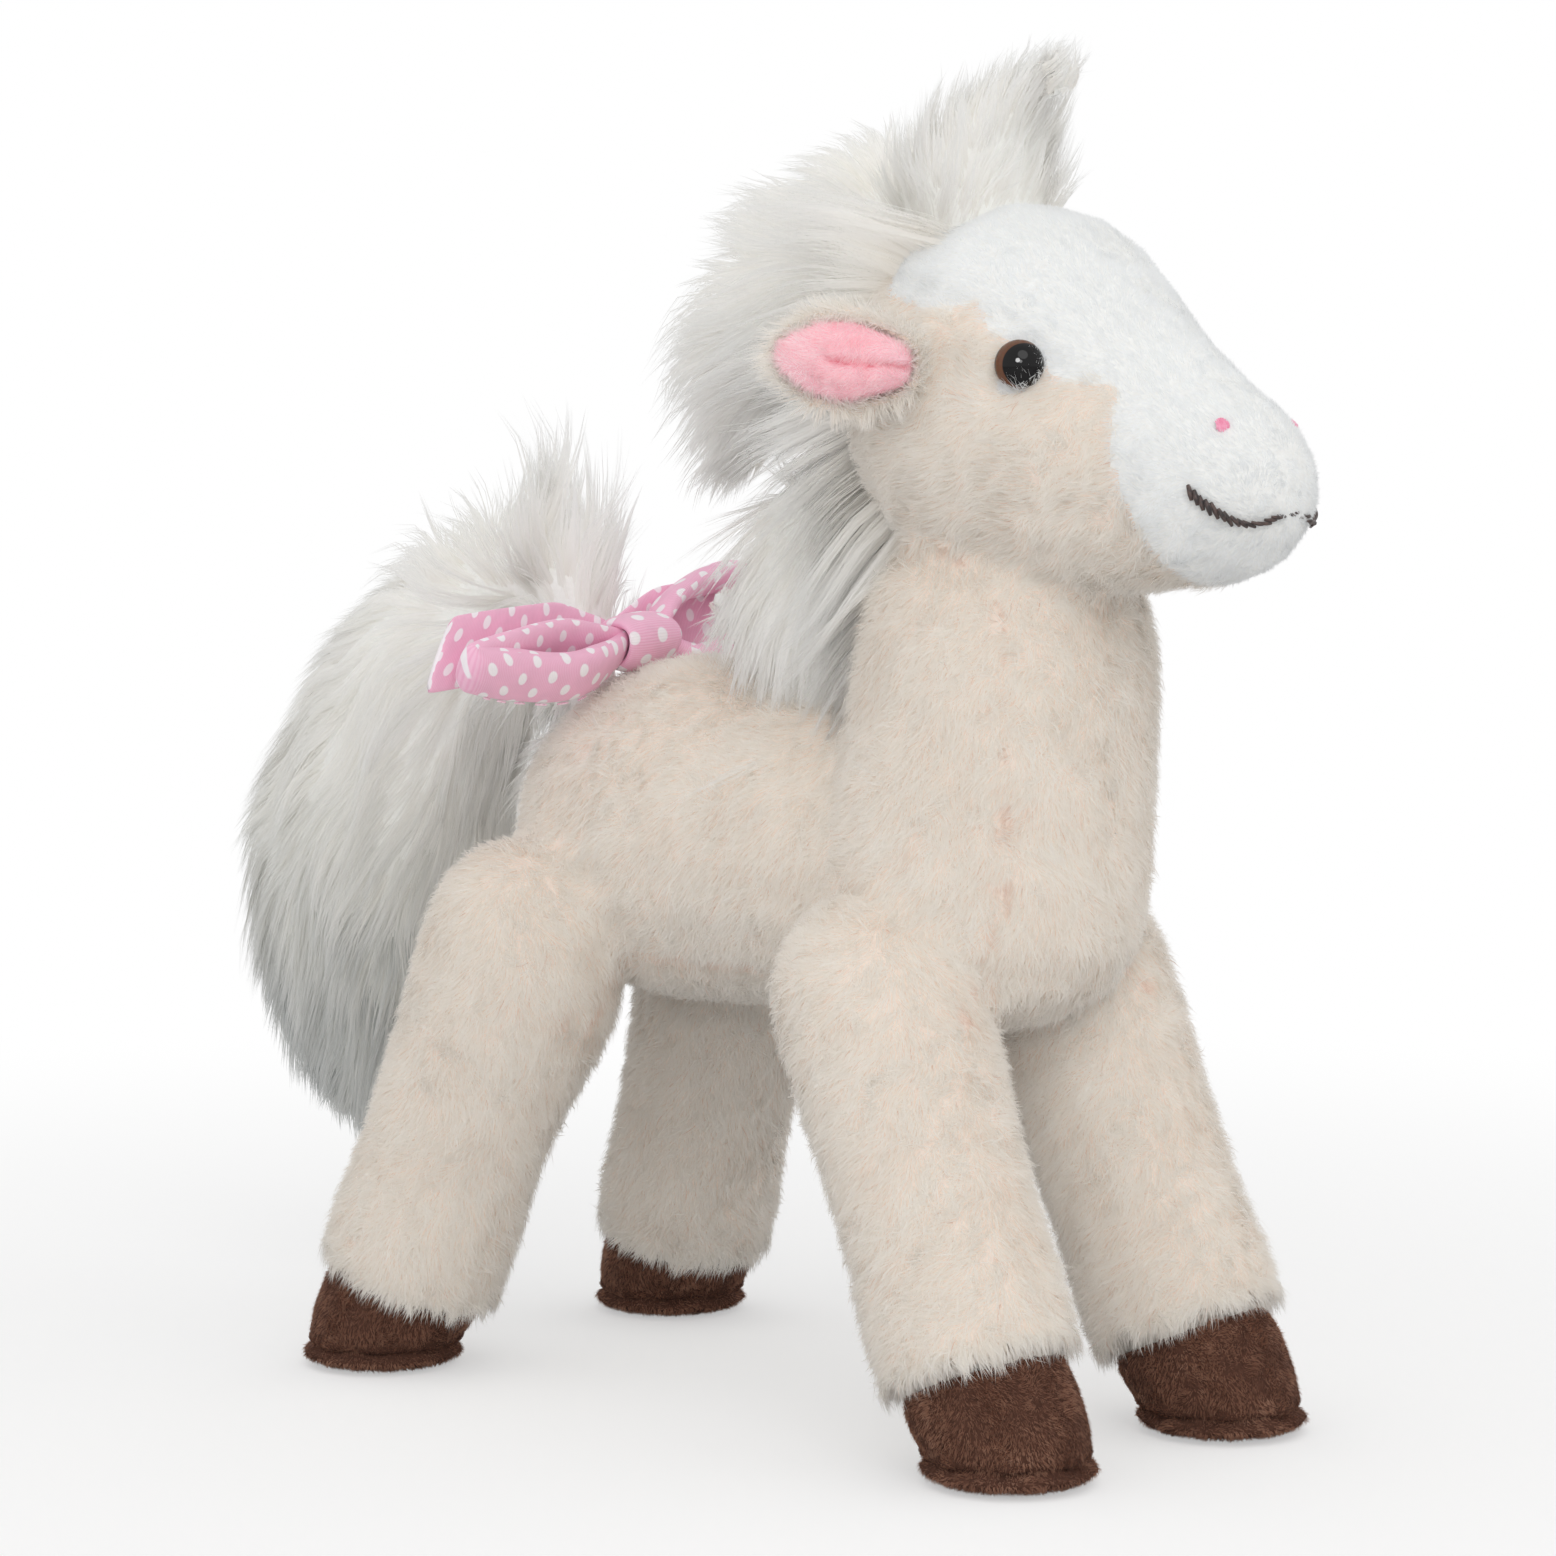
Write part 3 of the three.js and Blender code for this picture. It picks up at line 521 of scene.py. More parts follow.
@dataclass(frozen=True)
class PileFinish(Finish):
    """A pile of fibres: its colour from fibre to fibre, and from the root to the tip.

    Across the fibre's own map runs its tone, and up the map its way from root to tip.
    Toward the root the colour darkens as painted shade, for the shade deep between the fibres.
    """

    tones: tuple[tuple[float, Colour], ...]
    # root: a colour multiplied in near the root, painted shade for the shade deep between the fibres.
    root: Colour
    tip: Colour
    root_reach: float = 0.45
    tip_share: float = 0.5
    roughness: float = 0.85
    sheen: float = 0.1
    through: float = 0.5

    def material(self) -> bpy.types.Material:
        """Make the pile's material.

        Returns:
            The material.
        """
        made = Material(self.name)
        place = made.node("ShaderNodeUVMap", uv_map="OFBake")
        parts = made.node("ShaderNodeSeparateXYZ")
        made.link(place.outputs["UV"], parts.inputs[0])
        tone = made.ramp(parts.outputs["X"], self.tones)
        # Painted shade: the colour darkens toward the root, where shade falls between the fibres.
        root_shaded = made.ramp(parts.outputs["Y"], ((0.0, self.root), (self.root_reach, (1.0,) * 3)), smooth=True)
        colour = made.mixed("MULTIPLY", 1.0, tone, root_shaded)
        tipped = made.ramp(parts.outputs["Y"], ((0.55, (0.0,) * 3), (1.0, (self.tip_share,) * 3)), smooth=True)
        colour = made.mixed("MIX", tipped, colour, self.tip)
        glow = made.node("ShaderNodeBsdfTranslucent")
        made.link(colour, glow.inputs["Color"])
        made.mix_surface(self.through, glow)
        return made.surface(colour, Roughness=self.roughness, Specular_IOR_Level=0.15,
                            Sheen_Weight=self.sheen, Sheen_Roughness=0.5)


@dataclass(frozen=True)
class BackingFinish(Finish):
    """The knitted backing cloth between the fibres' roots."""

    colour: Colour
    dark: Colour
    pitch: float = 900.0

    def material(self) -> bpy.types.Material:
        """Make the backing's material.

        Returns:
            The material.
        """
        made = Material(self.name)
        knit = made.noise(self.pitch, 3.0).outputs["Fac"]
        made.raised(knit, 0.4, 0.3 * MM)
        colour = made.ramp(knit, ((0.3, self.dark), (0.7, self.colour)))
        return made.surface(colour, Roughness=0.95, Specular_IOR_Level=0.1)


CREAM_PILE = PileFinish(
    "cream_plush_pile",
    tones=((0.0, shade(228, 204, 192)), (0.15, shade(237, 225, 216)), (0.35, shade(241, 237, 231)),
           (0.7, shade(244, 241, 236)), (1.0, shade(247, 246, 243))),
    root=(0.985, 0.962, 0.945), tip=shade(246, 245, 243), root_reach=0.3, tip_share=0.55)
WHITE_PILE = PileFinish(
    "white_plush_pile",
    tones=((0.0, shade(228, 228, 225)), (0.5, shade(239, 240, 240)), (1.0, shade(245, 246, 247))),
    root=(0.97, 0.97, 0.965), tip=shade(245, 246, 247), root_reach=0.3, tip_share=0.5)
HOOF_PILE = PileFinish(
    "brown_hoof_pile",
    tones=((0.0, shade(96, 64, 52)), (0.4, shade(140, 100, 82)), (0.8, shade(172, 130, 108)),
           (1.0, shade(192, 152, 130))),
    root=(0.7, 0.62, 0.58), tip=shade(190, 150, 128), tip_share=0.45, root_reach=0.6)
PINK_PILE = PileFinish(
    "pink_ear_pile",
    tones=((0.0, shade(232, 150, 165)), (0.3, shade(250, 216, 221)), (0.7, shade(252, 232, 235)),
           (1.0, shade(253, 240, 242))),
    root=(0.98, 0.94, 0.95), tip=shade(254, 232, 236), tip_share=0.45)
# Painted shade: the long hair's tips are greyer than its body, and the grey low end of its tones is taken by
# the lower tail.
HAIR_PILE = PileFinish(
    "long_white_pile",
    tones=((0.0, shade(202, 205, 204)), (0.3, shade(234, 234, 231)), (0.6, shade(247, 246, 243)),
           (1.0, shade(250, 249, 248))),
    root=(0.985, 0.974, 0.958), tip=shade(236, 237, 237), root_reach=0.5, tip_share=0.6, sheen=0.05)
CREAM_BACKING = BackingFinish("cream_backing", shade(244, 232, 221), shade(237, 220, 208))
WHITE_BACKING = BackingFinish("white_backing", shade(247, 247, 245), shade(238, 237, 234))
BROWN_BACKING = BackingFinish("brown_backing", shade(92, 62, 50), shade(70, 46, 37))
HAIR_BACKING = BackingFinish("hair_backing", shade(249, 249, 246), shade(243, 243, 239))
PINK_BACKING = BackingFinish("pink_backing", shade(251, 208, 215), shade(246, 192, 202))


@dataclass(frozen=True)
class RibbonFinish(Finish):
    """Turned cotton ribbon: fine ribs, and a common pattern of staggered white oval dots."""

    name: str = "dotted_ribbon"
    cloth: Colour = shade(252, 196, 221)
    deep: Colour = shade(247, 180, 210)
    # deep: the colour in the grooves between the ribs, darker as painted shade.
    dot: Colour = shade(251, 244, 248)
    pitch: float = 7.6 * MM
    radius: float = 0.16
    rib: float = 0.42 * MM

    def dots(self, made: Material, place: Socket, shift: float) -> Socket:
        """Measure the way to the nearest dot of one of the two crossed rows.

        Args:
            made: The material.
            place: The ribbon's own map, in metres.
            shift: How far this row is moved, in shares of the pitch.

        Returns:
            The distance, in shares of the pitch.
        """
        steps = (("MULTIPLY_ADD", (1 / self.pitch, 1 / self.pitch, 0), (shift, shift, 0)), ("FRACTION",),
                 ("MULTIPLY_ADD", (1.25, 0.95, 0), (-0.625, -0.475, 0)), ("LENGTH",))
        for operation, *values in steps:
            step = made.node("ShaderNodeVectorMath", operation=operation)
            made.link(place, step.inputs[0])
            for socket, value in zip(step.inputs[1:3], values):
                socket.default_value = value
            place = step.outputs[0]
        return step.outputs["Value"]

    def material(self) -> bpy.types.Material:
        """Make the ribbon's material.

        Returns:
            The material.
        """
        made = Material(self.name)
        place = made.node("ShaderNodeUVMap", uv_map="weave").outputs["UV"]
        near = made.node("ShaderNodeMath", operation="MINIMUM")
        made.link(self.dots(made, place, 0.0), near.inputs[0])
        made.link(self.dots(made, place, 0.5), near.inputs[1])
        dot = made.ramp(near.outputs[0], ((self.radius, (1.0,) * 3), (self.radius + 0.035, (0.0,) * 3)))
        ribs = made.node("ShaderNodeTexWave", wave_type="BANDS", bands_direction="X", Distortion=0.6,
                         Detail=1.0, Scale=0.314 / self.rib)
        made.link(place, ribs.inputs["Vector"])
        grain = made.noise(260.0, 3.0, place)
        # Painted shade: the ribs' grooves take the darker colour, following the same bands as the bump.
        cloth = made.ramp(ribs.outputs["Fac"], ((0.0, self.deep), (0.7, self.cloth)))
        worn = made.ramp(grain.outputs["Fac"], ((0.3, (0.93,) * 3), (0.7, (1.0,) * 3)))
        cloth = made.mixed("MULTIPLY", 1.0, cloth, worn)
        made.raised(ribs.outputs["Fac"], 0.35, 0.12 * MM)
        return made.surface(made.mixed("MIX", dot, cloth, self.dot), Roughness=0.62, Specular_IOR_Level=0.38,
                            Sheen_Weight=0.12)


@dataclass(frozen=True)
class ThreadFinish(Finish):
    """Sewing thread with its twist."""

    light: Colour
    dark: Colour
    twist: float = 1400.0
    roughness: float = 0.5

    def material(self) -> bpy.types.Material:
        """Make the thread's material.

        Returns:
            The material.
        """
        made = Material(self.name)
        twist = made.noise(self.twist, 2.0).outputs["Fac"]
        made.raised(twist, 0.5, 0.1 * MM)
        return made.surface(made.ramp(twist, ((0.35, self.dark), (0.65, self.light))),
                            Roughness=self.roughness, Sheen_Weight=0.2)


@dataclass(frozen=True)
class EyeFinish(Finish):
    """Clear domed plastic over a black pupil in a brown iris."""

    name: str = "glossy_eye"
    pupil: Colour = shade(5, 4, 5)
    iris: Colour = shade(104, 66, 44)
    deep: Colour = shade(54, 28, 16)
    rim: Colour = shade(16, 11, 9)

    def material(self) -> bpy.types.Material:
        """Make the eye's material, from its own map of rings.

        Returns:
            The material.
        """
        made = Material(self.name)
        place = made.node("ShaderNodeUVMap", uv_map="rings")
        parts = made.node("ShaderNodeSeparateXYZ")
        made.link(place.outputs["UV"], parts.inputs[0])
        fleck = made.noise(2200.0, 2.0)
        ring = made.ramp(parts.outputs["X"], ((0.0, self.pupil), (0.69, self.pupil), (0.72, self.iris),
                                              (0.92, self.iris), (0.97, self.deep), (1.0, self.rim)))
        return made.surface(made.mixed("OVERLAY", 0.3, ring, fleck.outputs["Color"]),
                            Roughness=0.05, Specular_IOR_Level=0.3)


@dataclass(frozen=True)
class MouldedFinish(Finish):
    """Plain moulded plastic, matt, with a fine grain."""

    name: str = "washer_plastic"
    colour: Colour = shade(226, 224, 218)
    dark: Colour = shade(206, 203, 196)

    def material(self) -> bpy.types.Material:
        """Make the plastic's material.

        Returns:
            The material.
        """
        made = Material(self.name)
        grain = made.noise(1200.0, 2.0).outputs["Fac"]
        return made.surface(made.ramp(grain, ((0.3, self.dark), (0.7, self.colour))), Roughness=0.45)


PINK_THREAD = ThreadFinish("pink_satin_thread", shade(250, 168, 196), shade(240, 138, 172))
BROWN_THREAD = ThreadFinish("dark_brown_thread", shade(88, 68, 62), shade(34, 24, 24), twist=1100.0,
                            roughness=0.6)
LIGHT_THREAD = ThreadFinish("pale_pink_thread", shade(253, 226, 238), shade(240, 190, 214))


@dataclass
class Drift:
    """A smooth random drift through space, the same each time for one seed."""

    size: float
    seed: int
    waves: int = 20

    def at(self, points: Rows) -> Rows:
        """Read the drift.

        Args:
            points: Places in metres, one row each.

        Returns:
            Three numbers for each place, each about -1 to 1.
        """
        luck = chance(self.seed)
        ways = luck.normal(size=(self.waves, 3))
        ways *= (2 * math.pi / self.size) * luck.uniform(0.6, 1.5, (self.waves, 1)) \
            / norm(ways, axis=1, keepdims=True)
        phases = luck.uniform(0, 2 * math.pi, (3, self.waves))
        angles = points @ ways.T
        return np.stack([np.sin(angles + phases[i]).sum(axis=1) for i in range(3)], axis=1) \
            * math.sqrt(2 / self.waves)


def unit(vectors: Rows) -> Rows:
    """Scale each row to length one."""
    return vectors / np.maximum(norm(vectors, axis=-1, keepdims=True), 1e-12)


def on_surface(vectors: Rows, normals: Rows) -> Rows:
    """Lay vectors flat on a surface, each at length one."""
    return unit(vectors - normals * np.sum(vectors * normals, axis=-1, keepdims=True))


@dataclass
class Roots:
    """Random places on a piece's surface, from which fibres grow."""

    points: Rows
    normals: Rows

    @classmethod
    def scatter(cls, piece: Piece, density: float, seed: int) -> "Roots":
        """Spread roots evenly over a piece.

        Args:
            piece: The piece.
            density: Roots to the square millimetre.
            seed: Where the chance starts.

        Returns:
            The roots.
        """
        mesh = piece.data
        mesh.calc_loop_triangles()
        count = len(mesh.loop_triangles)
        corners = np.empty(count * 3, dtype=np.int64)
        mesh.loop_triangles.foreach_get("vertices", corners)
        corners = corners.reshape(-1, 3)
        points = vertex_rows(mesh)
        normals = vertex_rows(mesh, "normal")
        a, b, c = (points[corners[:, i]] for i in range(3))
        areas = norm(np.cross(b - a, c - a), axis=1) / 2
        luck = chance(seed)
        total = int(areas.sum() * 1e6 * density)
        picks = luck.choice(count, size=total, p=areas / areas.sum())
        first = np.sqrt(luck.uniform(size=(total, 1)))
        second = luck.uniform(size=(total, 1))
        shares = np.hstack([1 - first, first * (1 - second), first * second])
        at = sum(points[corners[picks, i]] * shares[:, i:i + 1] for i in range(3))
        out = unit(sum(normals[corners[picks, i]] * shares[:, i:i + 1] for i in range(3)))
        return cls(at, out)

    def chosen(self, mask: Rows) -> "Roots":
        """Keep some of the roots."""
        return Roots(self.points[mask], self.normals[mask])


def blades(name: str, courses: Rows, widths: Rows, across: Rows, tones: Rows,
           material: bpy.types.Material) -> Piece:
    """Make one mesh of many thin blades, fine enough to let the light through to each other.

    Args:
        name: The piece's name.
        courses: For each station from root to tip, one row of places for the blades.
        widths: Each blade's width at each station but the tip, in metres.
        across: Each blade's way across.
        tones: Each blade's tone, from 0 to 1.
        material: The finish.

    Returns:
        The piece.
    """
    stations, count = courses.shape[:2]
    sides = stations - 1
    half = across * 0.5
    places = np.empty((count, 2 * sides + 1, 3))
    maps = np.empty((count, 2 * sides + 1, 2))
    for i in range(sides):
        places[:, 2 * i] = courses[i] - half * widths[i][:, None]
        places[:, 2 * i + 1] = courses[i] + half * widths[i][:, None]
        maps[:, 2 * i, 0] = tones
        maps[:, 2 * i + 1, 0] = np.minimum(tones + 0.01, 1.0)
        maps[:, 2 * i:2 * i + 2, 1] = i / sides
    places[:, -1] = courses[-1]
    maps[:, -1, 0] = tones
    maps[:, -1, 1] = 1.0
    quads = [[2 * i, 2 * i + 1, 2 * i + 3, 2 * i + 2] for i in range(sides - 1)]
    corners = [corner for quad in quads for corner in quad] + [2 * sides - 2, 2 * sides - 1, 2 * sides]
    sizes = [4] * (sides - 1) + [3]
    starts = np.cumsum([0] + sizes[:-1])
    base = np.arange(count)[:, None]
    loops = (base * (2 * sides + 1) + np.array(corners)).ravel()
    loop_starts = (base * len(corners) + starts).ravel()
    mesh = bpy.data.meshes.new(name)
    mesh.vertices.add(places.shape[0] * places.shape[1])
    mesh.vertices.foreach_set("co", places.ravel())
    mesh.loops.add(len(loops))
    mesh.loops.foreach_set("vertex_index", loops.astype(np.int32))
    mesh.polygons.add(len(loop_starts))
    mesh.polygons.foreach_set("loop_start", loop_starts.astype(np.int32))
    mesh.update(calc_edges=True)
    layer = mesh.uv_layers.new(name="OFBake")
    layer.data.foreach_set("uv", maps.reshape(-1, 2)[loops].ravel())
    piece = put(name, mesh)
    mesh.materials.append(material)
    shade_smooth(piece)
    piece.visible_shadow = False
    return piece


@dataclass
class Nap:
    """The way that short pile lies over the horse."""

    way: Triple = (0.0, 0.42, -0.9)
    toward: Triple | None = None
    swirl: float = 0.32
    swirl_size: float = 22 * MM
    ruffle: float = 0.32
    ruffle_size: float = 6 * MM

    def lie(self, roots: Roots, seed: int) -> Rows:
        """Find the way that each fibre lies, flat on the cloth.

        Args:
            roots: The fibres' roots.
            seed: Where the chance starts.

        Returns:
            One way for each root.
        """
        way = np.array(self.way) if self.toward is None else unit(np.array(self.toward) - roots.points)
        ways = way + self.swirl * Drift(self.swirl_size, seed).at(roots.points) \
            + self.ruffle * Drift(self.ruffle_size, seed + 1).at(roots.points)
        ways += chance(seed + 2).normal(scale=0.2, size=ways.shape)
        return on_surface(ways, roots.normals)


@dataclass
class Plush:
    """Short pile: how long, wide and dense it is, how it rises and how it gathers."""

    finish: PileFinish
    nap: Nap = field(default_factory=Nap)
    length: float = 4.0 * MM
    width: float = 0.3 * MM
    density: float = 5.0
    rise: tuple[float, float] = (38.0, 16.0)
    curved: bool = False
    tuft: float = 1.7 * MM
    gather: float = 0.22
    mottle: float = 0.1
    flecks: float = 0.012
    bright: float = 0.6

    def tones(self, roots: Roots, seed: int) -> Rows:
        """Choose each fibre's tone.

        Args:
            roots: The fibres' roots.
            seed: Where the chance starts.

        Returns:
            One tone for each root, from 0 to 1.
        """
        luck = chance(seed + 5)
        wide = Drift(16 * MM, seed + 3).at(roots.points)[:, 0]
        fine = Drift(3.5 * MM, seed + 4).at(roots.points)[:, 0]
        tones = self.bright + self.mottle * (0.6 * wide + 0.6 * fine) \
            + luck.normal(scale=0.1, size=len(wide))
        fleck = (luck.uniform(size=len(wide)) < self.flecks * np.clip(1 + 1.5 * fine, 0, 4))
        tones[fleck] = luck.uniform(0.0, 0.25, fleck.sum())
        return np.clip(tones, 0.005, 0.985)

    def grow(self, name: str, roots: Roots, seed: int, darker: Rows | float = 0.0,
             shorter: Rows | float = 1.0) -> Piece:
        """Grow the pile from its roots.

        Args:
            name: The piece's name.
            roots: The fibres' roots.
            seed: Where the chance starts.
            darker: How much of its tone each fibre loses as painted shade, such as in a crease, a fold or along
                a seam.
            shorter: Each fibre's share of the full length.

        Returns:
            The piece.
        """
        luck = chance(seed + 9)
        count = len(roots.points)
        lie = self.nap.lie(roots, seed)
        out = roots.normals
        length = self.length * luck.uniform(0.75, 1.2, (count, 1)) * np.reshape(shorter, (-1, 1))
        steep = np.radians(self.rise[0] + luck.normal(scale=9, size=(count, 1)))
        flat = np.radians(self.rise[1] + luck.normal(scale=8, size=(count, 1)))
        base = roots.points - out * 0.25 * MM
        middle = base + length * 0.5 * (out * np.sin(steep) + lie * np.cos(steep))
        tip = middle + length * 0.5 * (out * np.sin(flat) + lie * np.cos(flat))
        cells = np.floor(roots.points / self.tuft + 0.35 * Drift(6 * MM, seed + 7).at(roots.points))
        cells = cells.astype(np.int64)
        keys = cells[:, 0] * 73856093 ^ cells[:, 1] * 19349663 ^ cells[:, 2] * 83492791
        _, tuft, sizes = np.unique(keys, return_inverse=True, return_counts=True)
        centre = np.stack([np.bincount(tuft, base[:, i]) for i in range(3)], axis=1) / sizes[:, None]
        pull = centre[tuft] - base
        middle += pull * self.gather * 0.4
        tip += pull * self.gather
        side = unit(np.cross(lie, out))
        roll = luck.uniform(-0.5, 0.5, (count, 1))
        across = side * np.cos(roll) + out * np.sin(roll)
        width = self.width * luck.uniform(0.7, 1.25, count)
        course = np.stack([base, middle, tip] if self.curved else [base, tip])
        widths = np.stack([width, width * 0.85] if self.curved else [width])
        return blades(name, course, widths, across,
                      self.tones(roots, seed) * (1 - darker), self.finish.material_once())


@dataclass(frozen=True)
class NeckBend:
    """Where the neck's cloth is parted from the head's: the start, the reach and the lean of the bend."""

    start: Vector = field(default_factory=lambda: joint_place("head_nod") + Vector((0, 7 * MM, -30 * MM)))
    reach: float = 36 * MM
    lean: Vector = field(default_factory=lambda: Vector((0, -0.5, 0.87)).normalized())

    @property
    def end(self) -> Vector:
        """The point at the bend's reach along its lean from the start."""
        return self.start + self.lean * self.reach

    def share(self, points: Rows) -> Rows:
        """How far along the bend each point lies, in metres past its start."""
        return (points - np.array(self.start)) @ np.array(self.lean)

    def ride(self, piece: Piece) -> None:
        """Bake a piece's place into its mesh; it is attached to neither the trunk nor the head."""
        tuple(self.end)
        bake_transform(piece)


@dataclass(frozen=True)
class LegBend:
    """One leg: its joint, its course, and how far below the joint its cloth is parted from the trunk's."""

    pair: Pair
    side: Side
    still: float = 12 * MM
    reach: float = 50 * MM

    @property
    def leg(self) -> str:
        """The leg's name."""
        return f"{self.pair.value}_leg_{self.side.word}"

    @property
    def joint(self) -> Vector:
        """The middle of the ball that the leg swings about."""
        return joint_place(f"{self.leg}_swing")

    @property
    def course(self) -> Vector:
        """The way from the joint to the middle of the sole.

        Returns:
            One unit long.
        """
        low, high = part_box(f"{self.pair.value}_hoof_{self.side.word}_sole")
        foot = (Vector(low) + Vector(high)) / 2
        return (Vector((foot.x, foot.y, low[2])) - self.joint).normalized()

    def along(self, points: Rows) -> Rows:
        """How far below the joint each point lies along the leg, in metres."""
        return (points - np.array(self.joint)) @ np.array(self.course)

    def ride(self, piece: Piece) -> None:
        """Bake a piece's place into its mesh; it is not attached to the leg."""
        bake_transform(piece)


LEGS = [LegBend(pair, side) for pair in Pair for side in Side]


@dataclass
class SewnCloth:
    """The horse's cloth without its hooves, ears and hair, under the tips of its pile."""

    voxel: float = 1.8 * MM
    pile: float = 1.7 * MM
    short_pile: float = 0.9 * MM
    hem: float = 0.4 * MM
    fill: float = 0.85
    strand_density: float = 6.0
    strand_reach: float = 4.5 * MM
    white_past_eye: float = 5.0 * MM
    white_past_temple: float = 6.0 * MM
    face_density: float = 9.0
    fold_width: float = 0.9 * MM
    fold_height: float = 14 * MM
    lid_density: float = 15.0
    lid_from: float = 3.9 * MM
    lid_to: float = 5.6 * MM
    lid_length: float = 6.2 * MM
    trunk: Piece | None = None
    neck: Piece | None = None
    head: Piece | None = None
    legs: dict[str, Piece] = field(default_factory=dict)

    TRUNK_NODES = ("side_panel_right", "side_panel_left", "chest_panel", "trunk_filling")
    HEAD_NODES = ("face_panel", "cheek_right", "cheek_left", "head_filling")
    FACE = HEAD_NODES[:1]
    CHEEKS = HEAD_NODES[1:3]
    FULL = (((0.0, -0.127, 0.213), 14 * MM, 1.8 * MM), ((0.0, -0.143, 0.200), 10 * MM, 1.2 * MM),
            ((0.012, -0.099, 0.150), 26 * MM, 2.2 * MM), ((0.020, 0.018, 0.074), 18 * MM, 3.0 * MM),
            ((0.0, 0.002, 0.148), 22 * MM, 3.2 * MM))
    TEMPLE = (25 * MM, -0.078, 0.227)

    def build(self) -> None:
        """Fuse the sewn panels into one skin, draw it in under its pile, and part it."""
        leg_nodes = [f"{bend.leg}_{part}" for bend in LEGS for part in ("cover", "filling")]
        skin = copy_nodes("skin", *self.TRUNK_NODES, *self.HEAD_NODES, *leg_nodes)
        soften(skin, self.voxel, 0.5, 4)
        self.draw_in(skin)
        self.fill_out(skin)
        apply_modifier(skin, "SMOOTH", factor=0.4, iterations=3)
        report(skin)
        self.part(skin)

    def draw_in(self, skin: Piece) -> None:
        """Draw the skin in by the height of the pile, less on the short-piled face.

        Args:
            skin: The whole skin.
        """
        points = vertex_rows(skin.data)
        face = distances(node_tree("face_panel"), points) < 1.2 * MM
        group = skin.vertex_groups.new(name="pile")
        group.add([int(i) for i in np.flatnonzero(~face)], 1.0, "REPLACE")
        group.add([int(i) for i in np.flatnonzero(face)], self.short_pile / self.pile, "REPLACE")
        apply_modifier(skin, "DISPLACE", strength=-self.pile, mid_level=0.0, vertex_group="pile")
        skin.vertex_groups.clear()

    def fill_out(self, skin: Piece) -> None:
        """Puff the skin out a little where the filling is packed fullest.

        Args:
            skin: The whole skin.
        """
        points = vertex_rows(skin.data)
        normals = vertex_rows(skin.data, "normal")
        for place, reach, rise in self.FULL:
            away = norm((np.abs(points * (1, 0, 0)) + points * (0, 1, 1)) - np.array(place), axis=1)
            points += normals * (rise * np.exp(-(away / reach) ** 2))[:, None]
        move_vertices(skin.data, points)

    def part(self, skin: Piece) -> None:
        """Part the skin where the head and the legs move against the trunk.

        Args:
            skin: The whole skin.
        """
        for bend in LEGS:
            centres = face_centres(skin)
            near = (bend.along(centres) > bend.still) & (centres[:, 0] * bend.side.value > 0) \
                & ((centres[:, 1] > -0.02) == (bend.pair is Pair.REAR))
            chosen = self.off_trunk(centres, near, (f"{bend.leg}_cover", f"{bend.leg}_filling"))
            leg = part_off(skin, chosen, f"{bend.leg}_skin")
            hem = float(bend.along(node_points(f"{bend.leg}_cover")).max()) - self.hem
            select_only(leg)
            bpy.ops.object.mode_set(mode="EDIT")
            bpy.ops.mesh.select_all(action="SELECT")
            bpy.ops.mesh.bisect(plane_co=bend.joint + bend.course * hem, plane_no=bend.course, clear_outer=True)
            bpy.ops.object.mode_set(mode="OBJECT")
            self.legs[bend.leg] = leg
        centres = face_centres(skin)
        bend = NeckBend()
        chosen = self.off_trunk(centres, bend.share(centres) > 0, self.HEAD_NODES)
        self.head = part_off(skin, chosen, "head_skin")
        self.neck = part_off(skin, bend.share(face_centres(skin)) > 0, "neck_skin")
        self.trunk = skin
        skin.name = skin.data.name = "trunk_skin"

    def off_trunk(self, centres: Rows, near: Rows, nodes: tuple[str, ...]) -> Rows:
        """Find the faces that lie nearer to some nodes than to the trunk's panels.

        Args:
            centres: The faces' middles.
            near: Which of the faces come into question.
            nodes: The nodes.

        Returns:
            One true or false for each face.
        """
        chosen = near.copy()
        chosen[near] = further(centres[near], nodes, self.TRUNK_NODES[:3]) < 0
        return chosen

    def dress(self) -> None:
        """Grow the cream pile on the trunk, neck and legs, and cream and white on the head."""
        for piece in (self.trunk, self.neck, self.head, *self.legs.values()):
            shade_smooth(piece)
            CREAM_BACKING.cover(piece)
        coats = (("coat", Plush(CREAM_PILE)), ("guard", self.guard(4.8 * MM, Nap())))
        for i, (layer, plush) in enumerate(coats):
            for part, name in ((self.trunk, "trunk"), (self.neck, "neck")):
                roots = Roots.scatter(part, plush.density, 11 + i)
                seam = self.seam(roots)
                # Along the seam the fibres are shorter and darker; the darker tone is partly the backing's own
                # tan and partly painted shade in the seam's parting.
                pile = plush.grow(f"{name}_{layer}", roots, 11 + i, darker=0.9 * seam, shorter=1 - 0.55 * seam)
                if part is self.trunk:
                    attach(pile, "trunk")
                else:
                    NeckBend().ride(pile)
                report(pile)
            for j, leg in enumerate(LEGS):
                seed = 20 + j + 10 * i
                roots = Roots.scatter(self.legs[leg.leg], plush.density, seed)
                pile = plush.grow(f"{leg.leg}_{layer}", roots, seed)
                leg.ride(pile)
                report(pile)
        for j, leg in enumerate(LEGS):
            self.overhang(leg, 50 + j)
        self.dress_head()

